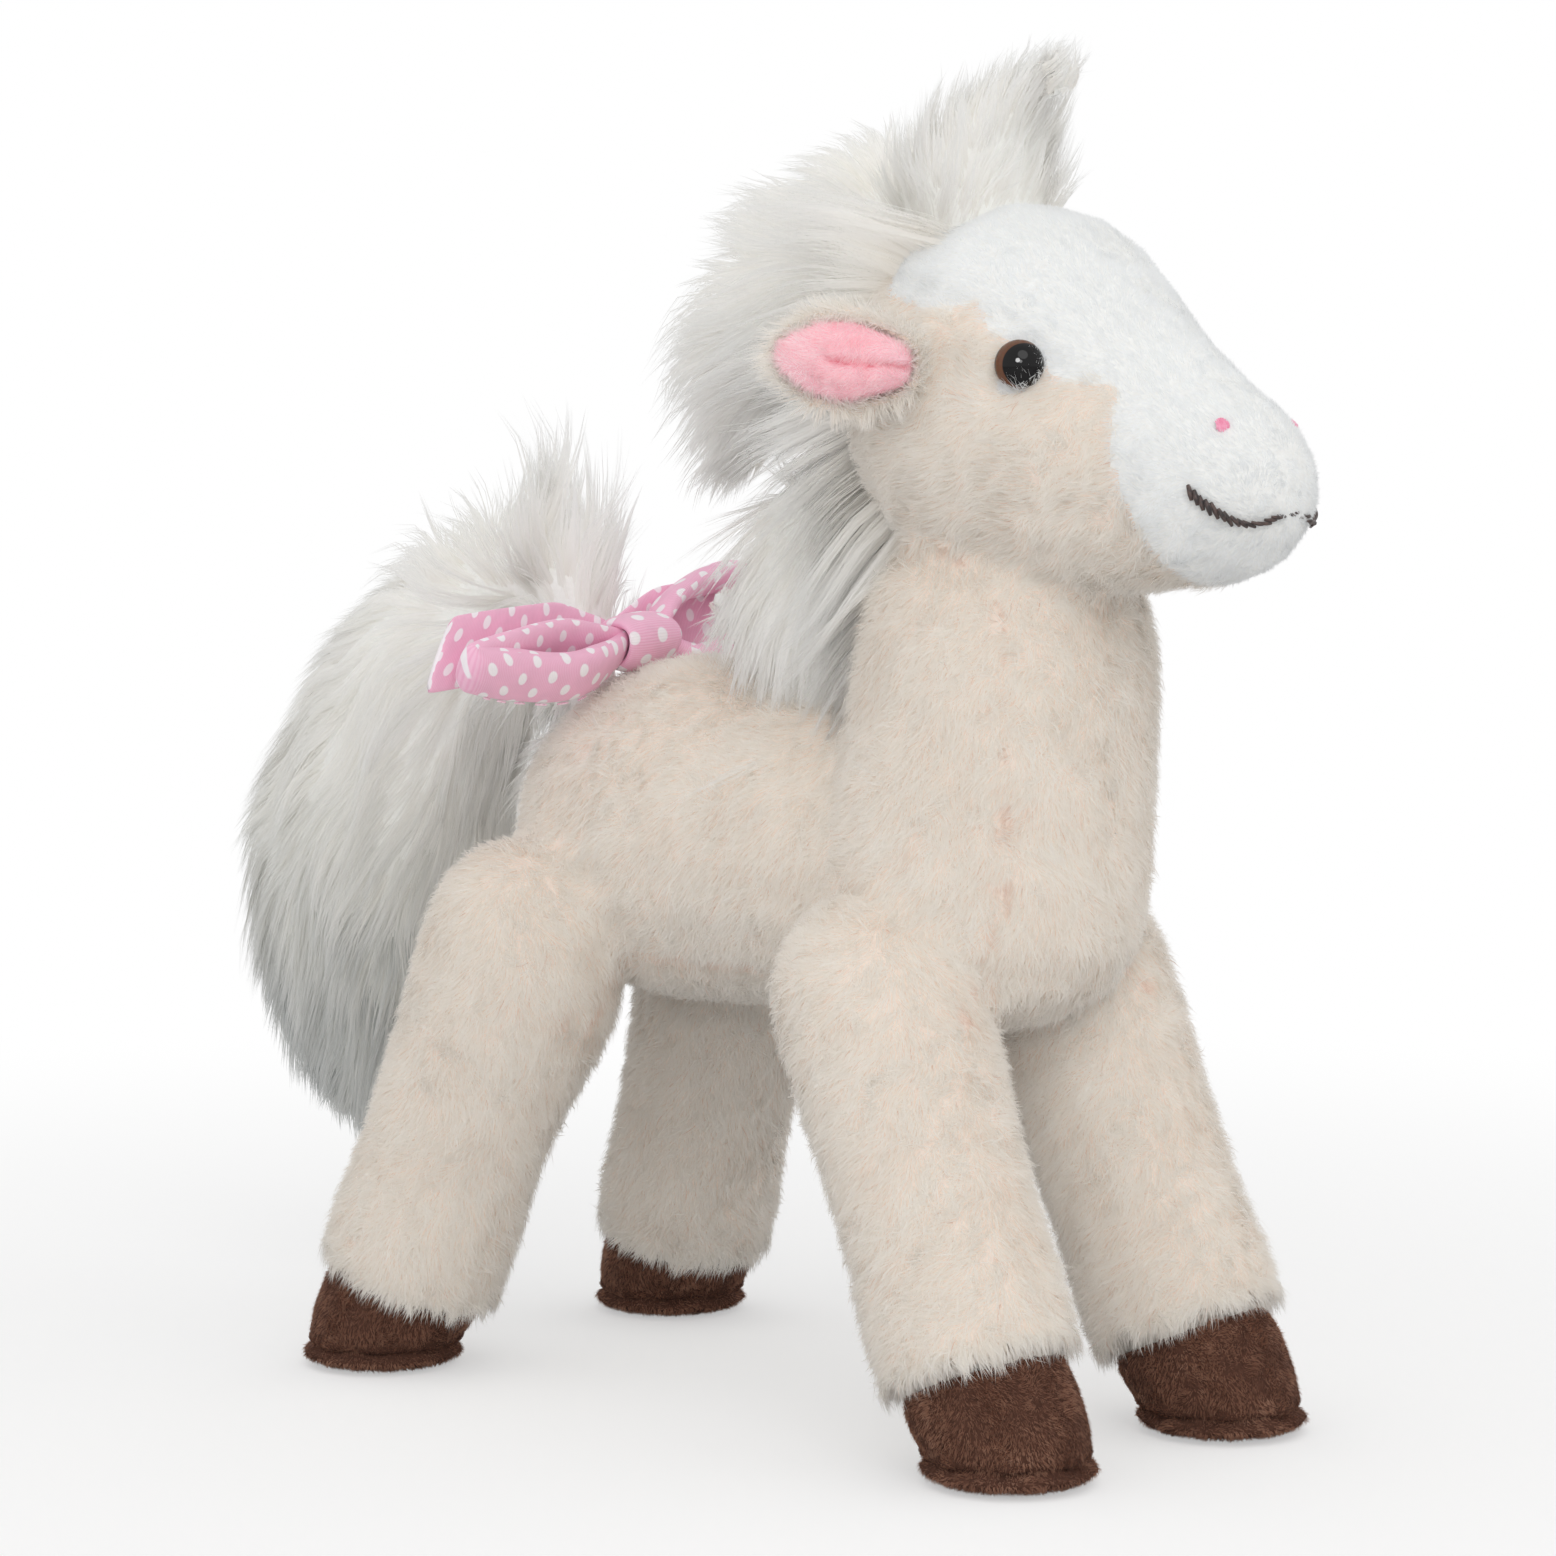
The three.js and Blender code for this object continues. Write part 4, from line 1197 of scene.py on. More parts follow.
    @staticmethod
    def guard(length: float, nap: Nap) -> Plush:
        """The sparse longer hairs that stand out of the cream pile."""
        return Plush(CREAM_PILE, nap=nap, length=length, width=0.22 * MM, density=1.0, curved=True,
                     rise=(40.0, 12.0), gather=0.4)

    def overhang(self, leg: LegBend, seed: int) -> None:
        """Grow longer strands round the bottom of a leg, which hang over its hoof.

        Args:
            leg: The leg.
            seed: Where the chance starts.
        """
        roots = Roots.scatter(self.legs[leg.leg], self.strand_density, seed)
        down = np.array(leg.course)
        hem = leg.along(node_points(f"{leg.leg}_cover")).max() - self.hem
        low = hem - leg.along(roots.points)
        roots = roots.chosen((low < self.strand_reach) & (roots.normals @ down < 0.75))
        roots.normals = unit(roots.normals - down * (roots.normals @ down)[:, None] * 0.9)
        strands = Plush(CREAM_PILE, nap=Nap(way=tuple(down), swirl=0.15, ruffle=0.3), length=6.0 * MM,
                        width=0.24 * MM, curved=True, rise=(24.0, -2.0), gather=0.5, tuft=2.2 * MM)
        leg.ride(strands.grow(f"{leg.leg}_overhang", roots, seed))

    def seam(self, roots: Roots) -> Rows:
        """Find how near each root is to the seam between the side panels and the chest panel.

        Args:
            roots: The fibres' roots.

        Returns:
            From 0, away from it, to 1, on it and where the seam shows.
        """
        away = further(roots.points, self.TRUNK_NODES[:2], self.TRUNK_NODES[2:3])
        shows = np.clip(0.6 + 0.8 * Drift(7 * MM, 5).at(roots.points)[:, 0], 0.15, 1)
        return np.exp(-(away / (0.9 * MM)) ** 2) * shows

    def brow(self, points: Rows) -> Rows:
        """How far the white reaches past the face panel's edge beside each eye and at each temple.

        Args:
            points: Places on the head, one row each.

        Returns:
            The reach at each place, in metres.
        """
        reach = np.zeros(len(points))
        for side in Side:
            low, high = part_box(f"eye_{side.word}")
            middle = (np.array(low) + np.array(high)) / 2 + np.array((0, -2 * MM, 3 * MM))
            away = norm(points - middle, axis=1)
            reach = np.maximum(reach, self.white_past_eye * np.clip((17 * MM - away) / (9 * MM), 0, 1))
            away = norm(points - np.array(self.TEMPLE) * (side.value, 1, 1), axis=1)
            reach = np.maximum(reach, self.white_past_temple * np.clip((19 * MM - away) / (10 * MM), 0, 1))
        return reach

    def dress_head(self) -> None:
        """Grow cream pile on the cheeks, and short white pile on the blaze and muzzle."""
        centres = face_centres(self.head)
        white = further(centres, self.FACE, self.CHEEKS) < self.brow(centres)
        WHITE_BACKING.cover(self.head)
        self.head.data.polygons.foreach_set("material_index", white.astype(np.int32))
        roots = Roots.scatter(self.head, self.face_density, 31)
        edge = further(roots.points, self.FACE, self.CHEEKS) - self.brow(roots.points)
        edge += 0.35 * MM * Drift(2.5 * MM, 35).at(roots.points)[:, 0] \
            + chance(36).normal(scale=0.6 * MM, size=len(edge))
        white = edge < 0
        muzzle = np.clip((-0.105 - roots.points[:, 1]) / (8 * MM), 0, 1)
        seam = np.exp(-(edge / (0.6 * MM)) ** 2) * muzzle
        luck = chance(32).uniform(size=len(white))
        nap = Nap(way=(0.0, 0.9, -0.35))
        fold = self.fold(roots.points)
        coats = (("cheek_coat", Plush(CREAM_PILE, nap=nap, length=3.8 * MM)),
                 ("cheek_guard", self.guard(4.3 * MM, nap)))
        for name, plush in coats:
            kept = ~white & (luck < plush.density / self.face_density)
            # The cheek fibres darken in the fold before each ear, as painted shade, and along the muzzle's
            # seam, partly the backing's own tan and partly painted shade; in the fold they are also shorter.
            pile = plush.grow(name, roots.chosen(kept), 33, darker=0.3 * seam[kept] + 0.5 * fold[kept],
                              shorter=1 - 0.5 * fold[kept])
            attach(pile, "head")
            report(pile)
        short = Plush(WHITE_PILE, nap=Nap(way=(0.0, 1.0, 0.1), swirl=0.3, ruffle=0.3), length=2.0 * MM,
                      width=0.26 * MM, rise=(34.0, 16.0), tuft=1.2 * MM, gather=0.1, mottle=0.04,
                      flecks=0.0, bright=0.75)
        # The white fibres darken along the muzzle's seam: partly the backing's own tan, partly painted shade in
        # the seam's parting.
        pile = short.grow("face_coat", roots.chosen(white), 34, darker=0.5 * seam[white])
        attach(pile, "head")
        report(pile)
        for side in Side:
            self.lid(side)

    def fold(self, points: Rows) -> Rows:
        """Find how near each place is to the soft fold in front of the ear on its side.

        Args:
            points: Places on the head, one row each.

        Returns:
            From 0, away from it, to 1, on it.
        """
        deep = np.zeros(len(points))
        for side in Side:
            low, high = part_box(f"ear_lining_{side.word}")
            middle = (low[2] + high[2]) / 2
            ahead = low[1] - 1.5 * MM - 2.5 * MM * np.sin((points[:, 2] - middle) / (9 * MM))
            tall = np.exp(-((points[:, 2] - middle - 2 * MM) / self.fold_height) ** 4)
            deep += np.exp(-((points[:, 1] - ahead) / self.fold_width) ** 2) * tall \
                * (points[:, 0] * side.value > 12 * MM)
        return deep

    def lid(self, side: Side) -> None:
        """Grow the pile that closes a little over the rim of an eye, most from in front and below.

        Args:
            side: Which eye.
        """
        washer = node_points(f"eye_washer_{side.word}").mean(axis=0)
        eye = node_points(f"eye_{side.word}")
        look = unit(eye[np.argsort(np.abs(eye[:, 0]))[-12:]].mean(axis=0) - washer)
        roots = Roots.scatter(self.head, self.lid_density, 38)
        away = roots.points - washer
        away -= np.outer(away @ look, look)
        reach = norm(away, axis=1)
        front = unit(away) @ unit(np.array((0.0, -0.8, -0.45)))
        near = (reach > self.lid_from) & (reach < self.lid_to) & (roots.points[:, 0] * side.value > 0) \
            & (front > 0.1)
        roots, away = roots.chosen(near), unit(away[near])
        roots.normals = np.tile(look, (len(away), 1))
        ahead = np.clip(away @ unit(np.array((0.0, -0.75, -0.65))), 0, 1)
        above = np.clip(away @ unit(np.array((0.0, -0.6, 0.8))), 0, 1)
        plush = Plush(WHITE_PILE, nap=Nap(toward=tuple(washer + look * 9 * MM), swirl=0.15, ruffle=0.2),
                      length=self.lid_length, width=0.22 * MM, curved=True, rise=(78.0, 34.0), flecks=0.0,
                      bright=0.93)
        short = 0.4 + 0.5 * ahead ** 2 + 0.35 * above ** 4
        pile = plush.grow(f"eye_{side.word}_lid", roots, 39, shorter=np.minimum(short, 1))
        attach(pile, "head")

    def ride(self) -> None:
        """Attach the trunk's and head's skin to their bodies, bake the neck's and legs' skin in place, and hide
        the sewn panels that the skin stands for.
        """
        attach(self.trunk, "trunk")
        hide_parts(*self.TRUNK_NODES)
        NeckBend().ride(self.neck)
        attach(self.head, "head")
        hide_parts(*self.HEAD_NODES)
        for leg in LEGS:
            leg.ride(self.legs[leg.leg])
            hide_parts(f"{leg.leg}_cover", f"{leg.leg}_filling")


@dataclass(frozen=True)
class Flow:
    """The way that long pile runs over one of the sewn masses."""

    node: str
    source: Vector
    sweep: Triple = (0.0, 0.0, 0.0)
    fall: float = 0.6
    fall_below: float = 0.0
    fall_over: float = 60 * MM
    lift: float = 0.25
    lay: float = 0.75
    length: float = 27 * MM
    proud: float = 2.0 * MM
    about: Triple | None = None
    about_reach: float = 14 * MM

    def ways(self, points: Rows, normals: Rows, share: float, seed: int) -> Rows:
        """The way that the hair runs.

        Args:
            points: Places along the hair, one row each.
            normals: The mass's outward way at each root.
            share: How far along its length the hair is, from 0 to 1.
            seed: Where the chance starts.

        Returns:
            One way for each place.
        """
        away = unit(points - np.array(self.source))
        below = np.clip((self.fall_below - points[:, 2:]) / self.fall_over, 0, 1)
        down = np.array((0.0, 0.0, -1.0)) * self.fall * (below + 0.5 * share)
        drift = Drift(26 * MM, seed).at(points) * 0.28 + Drift(9 * MM, seed + 1).at(points) * 0.1
        way = unit(away + down + np.array(self.sweep) + drift)
        rise = np.sum(way * normals, axis=1, keepdims=True)
        return unit(way - normals * np.where(rise > 0, rise * self.lay, rise)
                    + normals * self.lift * (1 - 0.7 * share))


@dataclass
class Hair:
    """Long white pile that grows on one or more sewn masses and gathers in pointed locks."""

    name: str
    body: str
    flows: tuple[Flow, ...]
    sewn_to: tuple[str, ...] = ()
    inset: float = 4.5 * MM
    tuck: float = 5.0 * MM
    width: float = 0.3 * MM
    density: float = 2.0
    lock: float = 13.0
    gather: float = 0.5
    stations: int = 5
    layers: int = 1
    thin: tuple[tuple[Triple, float, float], ...] = ()
    # Painted shade: hair rooted below the given height is made greyer, for the shade on the lower tail.
    grey_below: float = -1.0
    grey_over: float = 80 * MM
    greyer: float = 0.62
    shortest: float = 8 * MM
    dense: bool = False
    seed: int = 51

    @property
    def nodes(self) -> tuple[str, ...]:
        """The CAD nodes of the masses."""
        return tuple(dict.fromkeys(flow.node for flow in self.flows))

    def thinner(self, points: Rows) -> Rows:
        """How much lower the hair lies at each place than the mass's own outline, in metres.

        Args:
            points: The places, in rows.

        Returns:
            One length for each.
        """
        low = np.zeros(len(points))
        for place, reach, amount in self.thin:
            away = norm((points - np.array(place)) * (0.6, 1, 1), axis=1)
            low += amount * np.exp(-(away / reach) ** 2)
        return low

    def core(self) -> Piece:
        """Make the cloth and deep pile that the hair grows on, run into the cloth that it is sewn to.

        Returns:
            The core.
        """
        core = copy_nodes(f"{self.name}_core", *self.nodes, *self.sewn_to)
        soften(core, 2.0 * MM, 0.6, 6, -self.inset)
        if self.thin:
            self.sink(core)
        apply_modifier(core, "SMOOTH", factor=0.6, iterations=5)
        if self.sewn_to:
            under = further(face_centres(core), self.nodes, self.sewn_to)
            select_only(part_off(core, under > self.tuck, f"{self.name}_under"))
            bpy.ops.object.delete()
        shade_smooth(core)
        HAIR_BACKING.cover(core)
        core.visible_shadow = self.dense
        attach(core, self.body)
        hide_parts(*self.nodes)
        return core

    def sink(self, core: Piece) -> None:
        """Draw the core in where the hair is thinner.

        Args:
            core: The core.
        """
        points = vertex_rows(core.data)
        points -= vertex_rows(core.data, "normal") * self.thinner(points)[:, None]
        move_vertices(core.data, points)

    def shares(self, points: Rows) -> Rows:
        """Find how much each mass's flow counts at each place.

        Args:
            points: The places, one row each.

        Returns:
            One row for each flow, the rows adding up to 1.
        """
        if len(self.flows) == 1:
            return np.ones((1, len(points)))
        near = np.stack([1 / (distances(node_tree(flow.node), points) + 2 * MM) ** 2 for flow in self.flows])
        for row, flow in zip(near, self.flows):
            if flow.about:
                away = norm(points - np.array(flow.about), axis=1)
                row *= 30 * np.exp(-(away / flow.about_reach) ** 2)
        return near / near.sum(axis=0)

    def locks(self, roots: Roots, shares: Rows, lengths: Rows) -> Rows:
        """Run the middle of each lock from its root to its tip.

        Args:
            roots: Where the locks grow.
            shares: How much each flow leads each lock.
            lengths: How long each lock is.

        Returns:
            The middles, station by station.
        """
        courses = [roots.points - roots.normals * 1.5 * MM]
        step = lengths[:, None] / (self.stations - 1)
        for i in range(1, self.stations):
            part = i / (self.stations - 1)
            way = sum(share[:, None] * flow.ways(courses[-1], roots.normals, part, self.seed)
                      for share, flow in zip(shares, self.flows))
            courses.append(courses[-1] + step * unit(way))
        return np.stack(courses)

    def trimmed(self, roots: Roots, shares: Rows, lengths: Rows) -> Rows:
        """Shorten the locks that would stand too far outside the mass.

        Args:
            roots: The locks' roots.
            shares: How much each flow counts at each root.
            lengths: The locks' lengths.

        Returns:
            The shortened lengths.
        """
        tree = node_tree(*self.nodes)
        proud = sum(share * flow.proud for share, flow in zip(shares, self.flows))
        proud = proud * chance(self.seed + 8).uniform(0.2, 2.0, len(lengths)) \
            - self.thinner(roots.points)
        for _ in range(4):
            tips = self.locks(roots, shares, lengths)[-1]
            for i, tip in enumerate(tips):
                place, normal, _, distance = tree.find_nearest(Vector(tip))
                outside = distance if (Vector(tip) - place).dot(normal) > 0 else -distance
                if outside > proud[i]:
                    kept = max(0.6, 1 - (outside - proud[i]) / lengths[i])
                    lengths[i] = max(self.shortest, lengths[i] * kept)
        return lengths

    def comb(self, name: str, roots: Roots, trim: bool = True) -> list[Piece]:
        """Grow hair from roots, gathered in locks.

        Args:
            name: The piece's name.
            roots: The hairs' roots.
            trim: Whether locks that stand far outside the mass are shortened.

        Returns:
            The pieces, one for each layer.
        """
        luck = chance(self.seed)
        count = len(roots.points)
        few = max(12, int(count / self.lock))
        heads = luck.choice(count, size=few, replace=False)
        tree = KDTree(few)
        for i, head in enumerate(heads):
            tree.insert(Vector(roots.points[head]), i)
        tree.balance()
        lock = np.array([tree.find(Vector(point))[1] for point in roots.points])
        chosen = Roots(roots.points[heads], roots.normals[heads])
        shares = self.shares(chosen.points)
        lengths = luck.uniform(0.7, 1.2, few) \
            * sum(share * flow.length for share, flow in zip(shares, self.flows))
        if trim:
            lengths = self.trimmed(chosen, shares, lengths)
        middles = self.locks(chosen, shares, lengths)
        offset = roots.points - roots.points[heads][lock]
        reach = luck.uniform(0.55, 1.08, count)
        loose = luck.uniform(0.35, 1.0, (count, 1))
        stations = np.linspace(0, 1, self.stations)
        wave = Drift(7 * MM, self.seed + 4)
        courses = []
        for share in stations:
            at = share * reach * (self.stations - 1)
            low = np.minimum(at.astype(int), self.stations - 2)
            part = (at - low)[:, None]
            run = middles[low, lock] * (1 - part) + middles[low + 1, lock] * part
            spread = 1 - self.gather * loose * share ** 1.3
            courses.append(run + offset * spread)
        courses = np.stack(courses)
        for i, share in enumerate(stations):
            courses[i] += wave.at(roots.points + 3 * MM * share) * 1.2 * MM * share * (1.2 - loose)
        way = unit(courses[-1] - courses[0])
        side = unit(np.cross(way, roots.normals))
        roll = luck.uniform(-0.35, 0.35, (count, 1))
        across = side * np.cos(roll) + unit(np.cross(side, way)) * np.sin(roll)
        width = self.width * luck.uniform(0.6, 1.3, count)
        profile = np.interp(stations[:-1], (0.0, 0.5, 1.0), (1.0, 0.85, 0.3))
        tones = 0.8 + 0.06 * Drift(14 * MM, self.seed + 2).at(roots.points)[:, 0] \
            + luck.normal(scale=0.05, size=count)
        # Painted shade: hair rooted lower down turns greyer, for the shade on the underside of the tail.
        tones -= self.greyer * np.clip((self.grey_below - roots.points[:, 2]) / self.grey_over, 0, 1)
        pieces = []
        for layer in range(self.layers):
            part = np.arange(count) % self.layers == layer
            pieces.append(blades(name if not layer else f"{name}_{layer + 1}", courses[:, part],
                                 profile[:, None] * width[part], across[part],
                                 np.clip(tones[part], 0.01, 0.98), HAIR_PILE.material_once()))
            report(pieces[-1])
        return pieces

    def grow(self) -> None:
        """Grow the hair on its core."""
        roots = Roots.scatter(self.core(), self.density, self.seed)
        if self.sewn_to:
            roots = roots.chosen(further(roots.points, self.nodes, self.sewn_to) < 1.5 * MM)
        for piece in self.comb(f"{self.name}_hair", roots):
            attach(piece, self.body)


@dataclass
class ManeSeam(Hair):
    """Mane hair sewn straight into the skull and neck, between the forelock and both manes."""

    half_width: float = 19 * MM
    crown: float = 222 * MM

    def grow_on(self, cloth: SewnCloth) -> None:
        """Grow the hair on the back of the skull and neck, and over the crown.

        Args:
            cloth: The horse's skin.
        """
        roots = Roots.scatter(cloth.head, self.density, self.seed)
        x, y, z = roots.points.T
        soft = chance(self.seed).uniform(0, 16 * MM, len(y))
        top = (np.abs(x) < self.half_width) & (z > self.crown) & (y > -0.086 + soft)
        behind = (np.abs(x) < self.half_width) & (roots.normals[:, 1] > 0.1) & (y > -0.07) & (z > 0.165)
        for piece in self.comb("skull_hair", roots.chosen(top | behind), trim=False):
            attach(piece, "head")
        roots = Roots.scatter(cloth.neck, self.density, self.seed + 1)
        x, y, z = roots.points.T
        behind = (np.abs(x) < self.half_width) & (roots.normals[:, 1] > 0.15) & (y > -0.07)
        for piece in self.comb("neck_hair", roots.chosen(behind), trim=False):
            NeckBend().ride(piece)


@dataclass
class RumpHair(Hair):
    """White hair sewn into the rump, over the place where the tail starts."""

    middle: Vector = field(default_factory=lambda: joint_place("tail_swing"))
    reach: float = 17 * MM

    def grow_on(self, cloth: SewnCloth) -> None:
        """Grow the hair on the rump.

        Args:
            cloth: The horse's skin.
        """
        roots = Roots.scatter(cloth.trunk, self.density, self.seed)
        away = norm(roots.points - np.array(self.middle), axis=1)
        soft = chance(self.seed).uniform(0, 9 * MM, len(away))
        for piece in self.comb("rump_hair", roots.chosen(away < self.reach + 5 * MM - soft), trim=False):
            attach(piece, "trunk")


@dataclass
class Hooves:
    """Four brown hooves: a rounded band sewn to a flat sole, with a fold at the seam."""

    fold: float = 1.6 * MM
    fold_width: float = 1.2 * MM
    inset: float = 0.9 * MM
    lip: float = 0.9 * MM
    fill: float = 0.85
    plush: Plush = field(default_factory=lambda: Plush(
        HOOF_PILE, nap=Nap(way=(0.0, -0.25, -1.0), swirl=0.25, ruffle=0.4), length=1.5 * MM,
        width=0.24 * MM, density=8.0, rise=(46.0, 22.0), tuft=1.1 * MM, gather=0.5, mottle=0.16,
        flecks=0.0, bright=0.66))

    def build(self) -> None:
        """Make the four hooves."""
        for i, leg in enumerate(LEGS):
            name = f"{leg.pair.value}_hoof_{leg.side.word}"
            hoof = copy_nodes(f"{name}_cloth", f"{name}_band", f"{name}_sole")
            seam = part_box(f"{name}_sole")[1][2]
            soften(hoof, 1.1 * MM, 0.5, 4, -self.inset)
            self.crease(hoof, seam)
            shade_smooth(hoof)
            BROWN_BACKING.cover(hoof)
            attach(hoof, leg.leg)
            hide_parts(f"{name}_band", f"{name}_sole")
            roots = Roots.scatter(hoof, self.plush.density, 70 + i)
            pile = self.plush.grow(f"{name}_pile", roots.chosen(roots.points[:, 2] > 0.4 * MM), 70 + i)
            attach(pile, leg.leg)
            report(pile)

    def crease(self, hoof: Piece, seam: float) -> None:
        """Fold the cloth in along the seam between band and sole.

        Args:
            hoof: The hoof.
            seam: The seam's height.
        """
        points = vertex_rows(hoof.data)
        near = np.exp(-((points[:, 2:] - seam) / self.fold_width) ** 2)
        flat = vertex_rows(hoof.data, "normal") * np.array((1.0, 1.0, 0.0))
        points -= flat * near * self.fold
        points += flat * np.exp(-((points[:, 2:] - seam * 0.45) / (seam * 0.4)) ** 2) * self.lip
        points[:, 2] = np.maximum(points[:, 2], 0.3 * MM)
        move_vertices(hoof.data, points)


@dataclass
class Ears:
    """Two leaf-shaped ears: cream plush behind, and a short pink pile lining with a crease."""

    inset: float = 1.2 * MM
    puff: float = 0.7 * MM
    trim: float = 0.95
    crease: float = 1.1 * MM
    crease_width: float = 0.9 * MM
    back: Plush = field(default_factory=lambda: Plush(
        CREAM_PILE, nap=Nap(way=(0.0, 0.6, 0.1), swirl=0.5), length=5.4 * MM, width=0.28 * MM,
        density=7.0, rise=(50.0, 30.0)))
    lining: Plush = field(default_factory=lambda: Plush(
        PINK_PILE, nap=Nap(way=(0.0, 1.0, 0.0), swirl=0.4, ruffle=0.5), length=1.9 * MM,
        width=0.24 * MM, density=11.0, rise=(50.0, 26.0), tuft=1.1 * MM, gather=0.25, mottle=0.14,
        flecks=0.0, bright=0.7))

    def build(self) -> None:
        """Make both ears."""
        for side in Side:
            back = copy_nodes(f"ear_{side.word}_cloth", f"ear_back_{side.word}")
            soften(back, 0.9 * MM, 0.5, 4, -self.inset)
            CREAM_BACKING.cover(back)
            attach(back, f"ear_{side.word}")
            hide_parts(f"ear_back_{side.word}")
            front = self.line(side)
            lining = node_tree(f"ear_lining_{side.word}")
            roots = Roots.scatter(back, self.back.density, 81)
            away = distances(lining, roots.points)
            pile = self.back.grow(f"ear_{side.word}_pile", roots.chosen(away > 0.7 * MM), 82)
            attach(pile, f"ear_{side.word}")
            low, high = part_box(f"ear_lining_{side.word}")
            over = (np.array(low) + np.array(high)) / 2 + np.array((6 * MM * side.value, 0, 0))
            rim = Plush(CREAM_PILE, nap=Nap(toward=tuple(over), swirl=0.25, ruffle=0.3), length=4.2 * MM,
                        width=0.26 * MM, curved=True, rise=(66.0, 24.0))
            close = roots.chosen(away < 2.8 * MM)
            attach(rim.grow(f"ear_{side.word}_rim", close, 86), f"ear_{side.word}")
            report(pile)
            report(front)

    def line(self, side: Side) -> Piece:
        """Line one ear.

        Args:
            side: Which ear.

        Returns:
            The lining's pile.
        """
        lining = copy_nodes(f"ear_{side.word}_lining_cloth", f"ear_lining_{side.word}")
        soften(lining, 0.6 * MM, 0.5, 3, self.puff)
        points = vertex_rows(lining.data)
        middle, axes = self.axes(points)
        local = (points - middle) @ axes.T
        points = middle + (local * (self.trim, self.trim, 1.0)) @ axes
        local = (points - middle) @ axes.T
        reach = np.abs(local[:, 0]).max()
        root = 1 if middle[1] + axes[0][1] * reach < middle[1] else -1
        along = local[:, 0] * root / reach
        deep = np.exp(-(local[:, 1] / self.crease_width) ** 2) * np.clip((along + 0.35) / 0.5, 0, 1)
        outward = axes[2] * (1 if axes[2][0] * side.value > 0 else -1)
        points -= outward * (deep * self.crease)[:, None]
        move_vertices(lining.data, points)
        PINK_BACKING.cover(lining)
        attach(lining, f"ear_{side.word}")
        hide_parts(f"ear_lining_{side.word}")
        roots = Roots.scatter(lining, self.lining.density, 83)
        local = (roots.points - middle) @ axes.T
        along = local[:, 0] * root / reach
        # Painted shade: the lining's fibres darken in the crease.
        dark = np.exp(-(local[:, 1] / (0.6 * self.crease_width)) ** 2) * np.clip((along + 0.3) / 0.3, 0, 1)
        pile = self.lining.grow(f"ear_{side.word}_lining_pile", roots, 84, darker=0.9 * dark)
        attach(pile, f"ear_{side.word}")
        return pile

    @staticmethod
    def axes(points: Rows) -> tuple[Rows, Rows]:
        """Find the middle of some points and their long, wide and thin ways, in rows.

        Args:
            points: The points, in rows.

        Returns:
            The middle and the three ways.
        """
        middle = (points.min(axis=0) + points.max(axis=0)) / 2
        _, _, axes = np.linalg.svd(points - points.mean(axis=0), full_matrices=False)
        return middle, axes


@dataclass
class Eyes:
    """Two glossy domed eyes on their stems, with the washers behind the cloth."""

    radius: float = 4.7 * MM
    height: float = 3.4 * MM
    stem_radius: float = 0.85 * MM
    sunk: float = 1.1 * MM

    def build(self) -> None:
        """Make both eyes."""
        for side in Side:
            eye = f"eye_{side.word}"
            washer = node_points(f"eye_washer_{side.word}")
            _, _, ways = np.linalg.svd(washer - washer.mean(axis=0), full_matrices=False)
            look = Vector(ways[2] * (1 if ways[2][0] * side.value > 0 else -1)).normalized()
            points = node_points(eye)
            stem = Vector(washer.mean(axis=0))
            reach = ((points - np.array(stem)) @ np.array(look))
            foot = stem + look * (float(reach.max()) - self.height - self.sunk)
            bpy.ops.mesh.primitive_uv_sphere_add(segments=48, ring_count=32, radius=self.radius)
            dome = bpy.context.object
            bpy.ops.object.mode_set(mode="EDIT")
            bpy.ops.mesh.select_all(action="SELECT")
            bpy.ops.mesh.bisect(plane_co=(0, 0, -0.4 * MM), plane_no=(0, 0, 1), clear_inner=True, use_fill=True)
            bpy.ops.mesh.select_all(action="SELECT")
            bpy.ops.transform.resize(value=(1, 1, self.height / self.radius),
                                     center_override=(0, 0, 0))
            bpy.ops.object.mode_set(mode="OBJECT")
            self.map_rings(dome, side)
            facing = look.to_track_quat("Z", "Y").to_matrix().to_4x4()
            dome.data.transform(Matrix.Translation(foot) @ facing)
            back = float(-reach.min()) + float(reach.max()) - self.height
            bpy.ops.mesh.primitive_cylinder_add(vertices=16, radius=self.stem_radius, depth=back)
            stem_piece = bpy.context.object
            stem_piece.data.transform(Matrix.Translation(foot - look * back / 2) @ facing)
            self.map_rings(stem_piece, side)
            select_only(dome, stem_piece)
            bpy.ops.object.join()
            dome.name = dome.data.name = f"{eye}_dome"
            shade_smooth(dome)
            dome.data.materials.clear()
            EyeFinish().cover(dome)
            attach(dome, "head")
            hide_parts(eye)
            plain = bpy.data.objects[f"eye_washer_{side.word}"]
            plain.data.materials.clear()
            MouldedFinish().cover(plain)
            report(dome)

    def map_rings(self, dome: Piece, side: Side) -> None:
        """Map a dome by how far each point lies from its pupil's middle, which is forward of the dome's.

        Args:
            dome: The dome.
            side: The side of the head that it is on.
        """
        forward = -1.2 * MM * side.value
        layer = dome.data.uv_layers.get("UVMap") or dome.data.uv_layers.new(name="UVMap")
        layer.name = "rings"
        for face in dome.data.polygons:
            for index in face.loop_indices:
                place = dome.data.vertices[dome.data.loops[index].vertex_index].co
                across = math.hypot(place.x - forward, place.y + 0.3 * MM) / (self.radius + abs(forward))
                turn = math.atan2(place.y, place.x) / math.tau + 0.5
                layer.data[index].uv = (min(across, 1.0), turn)


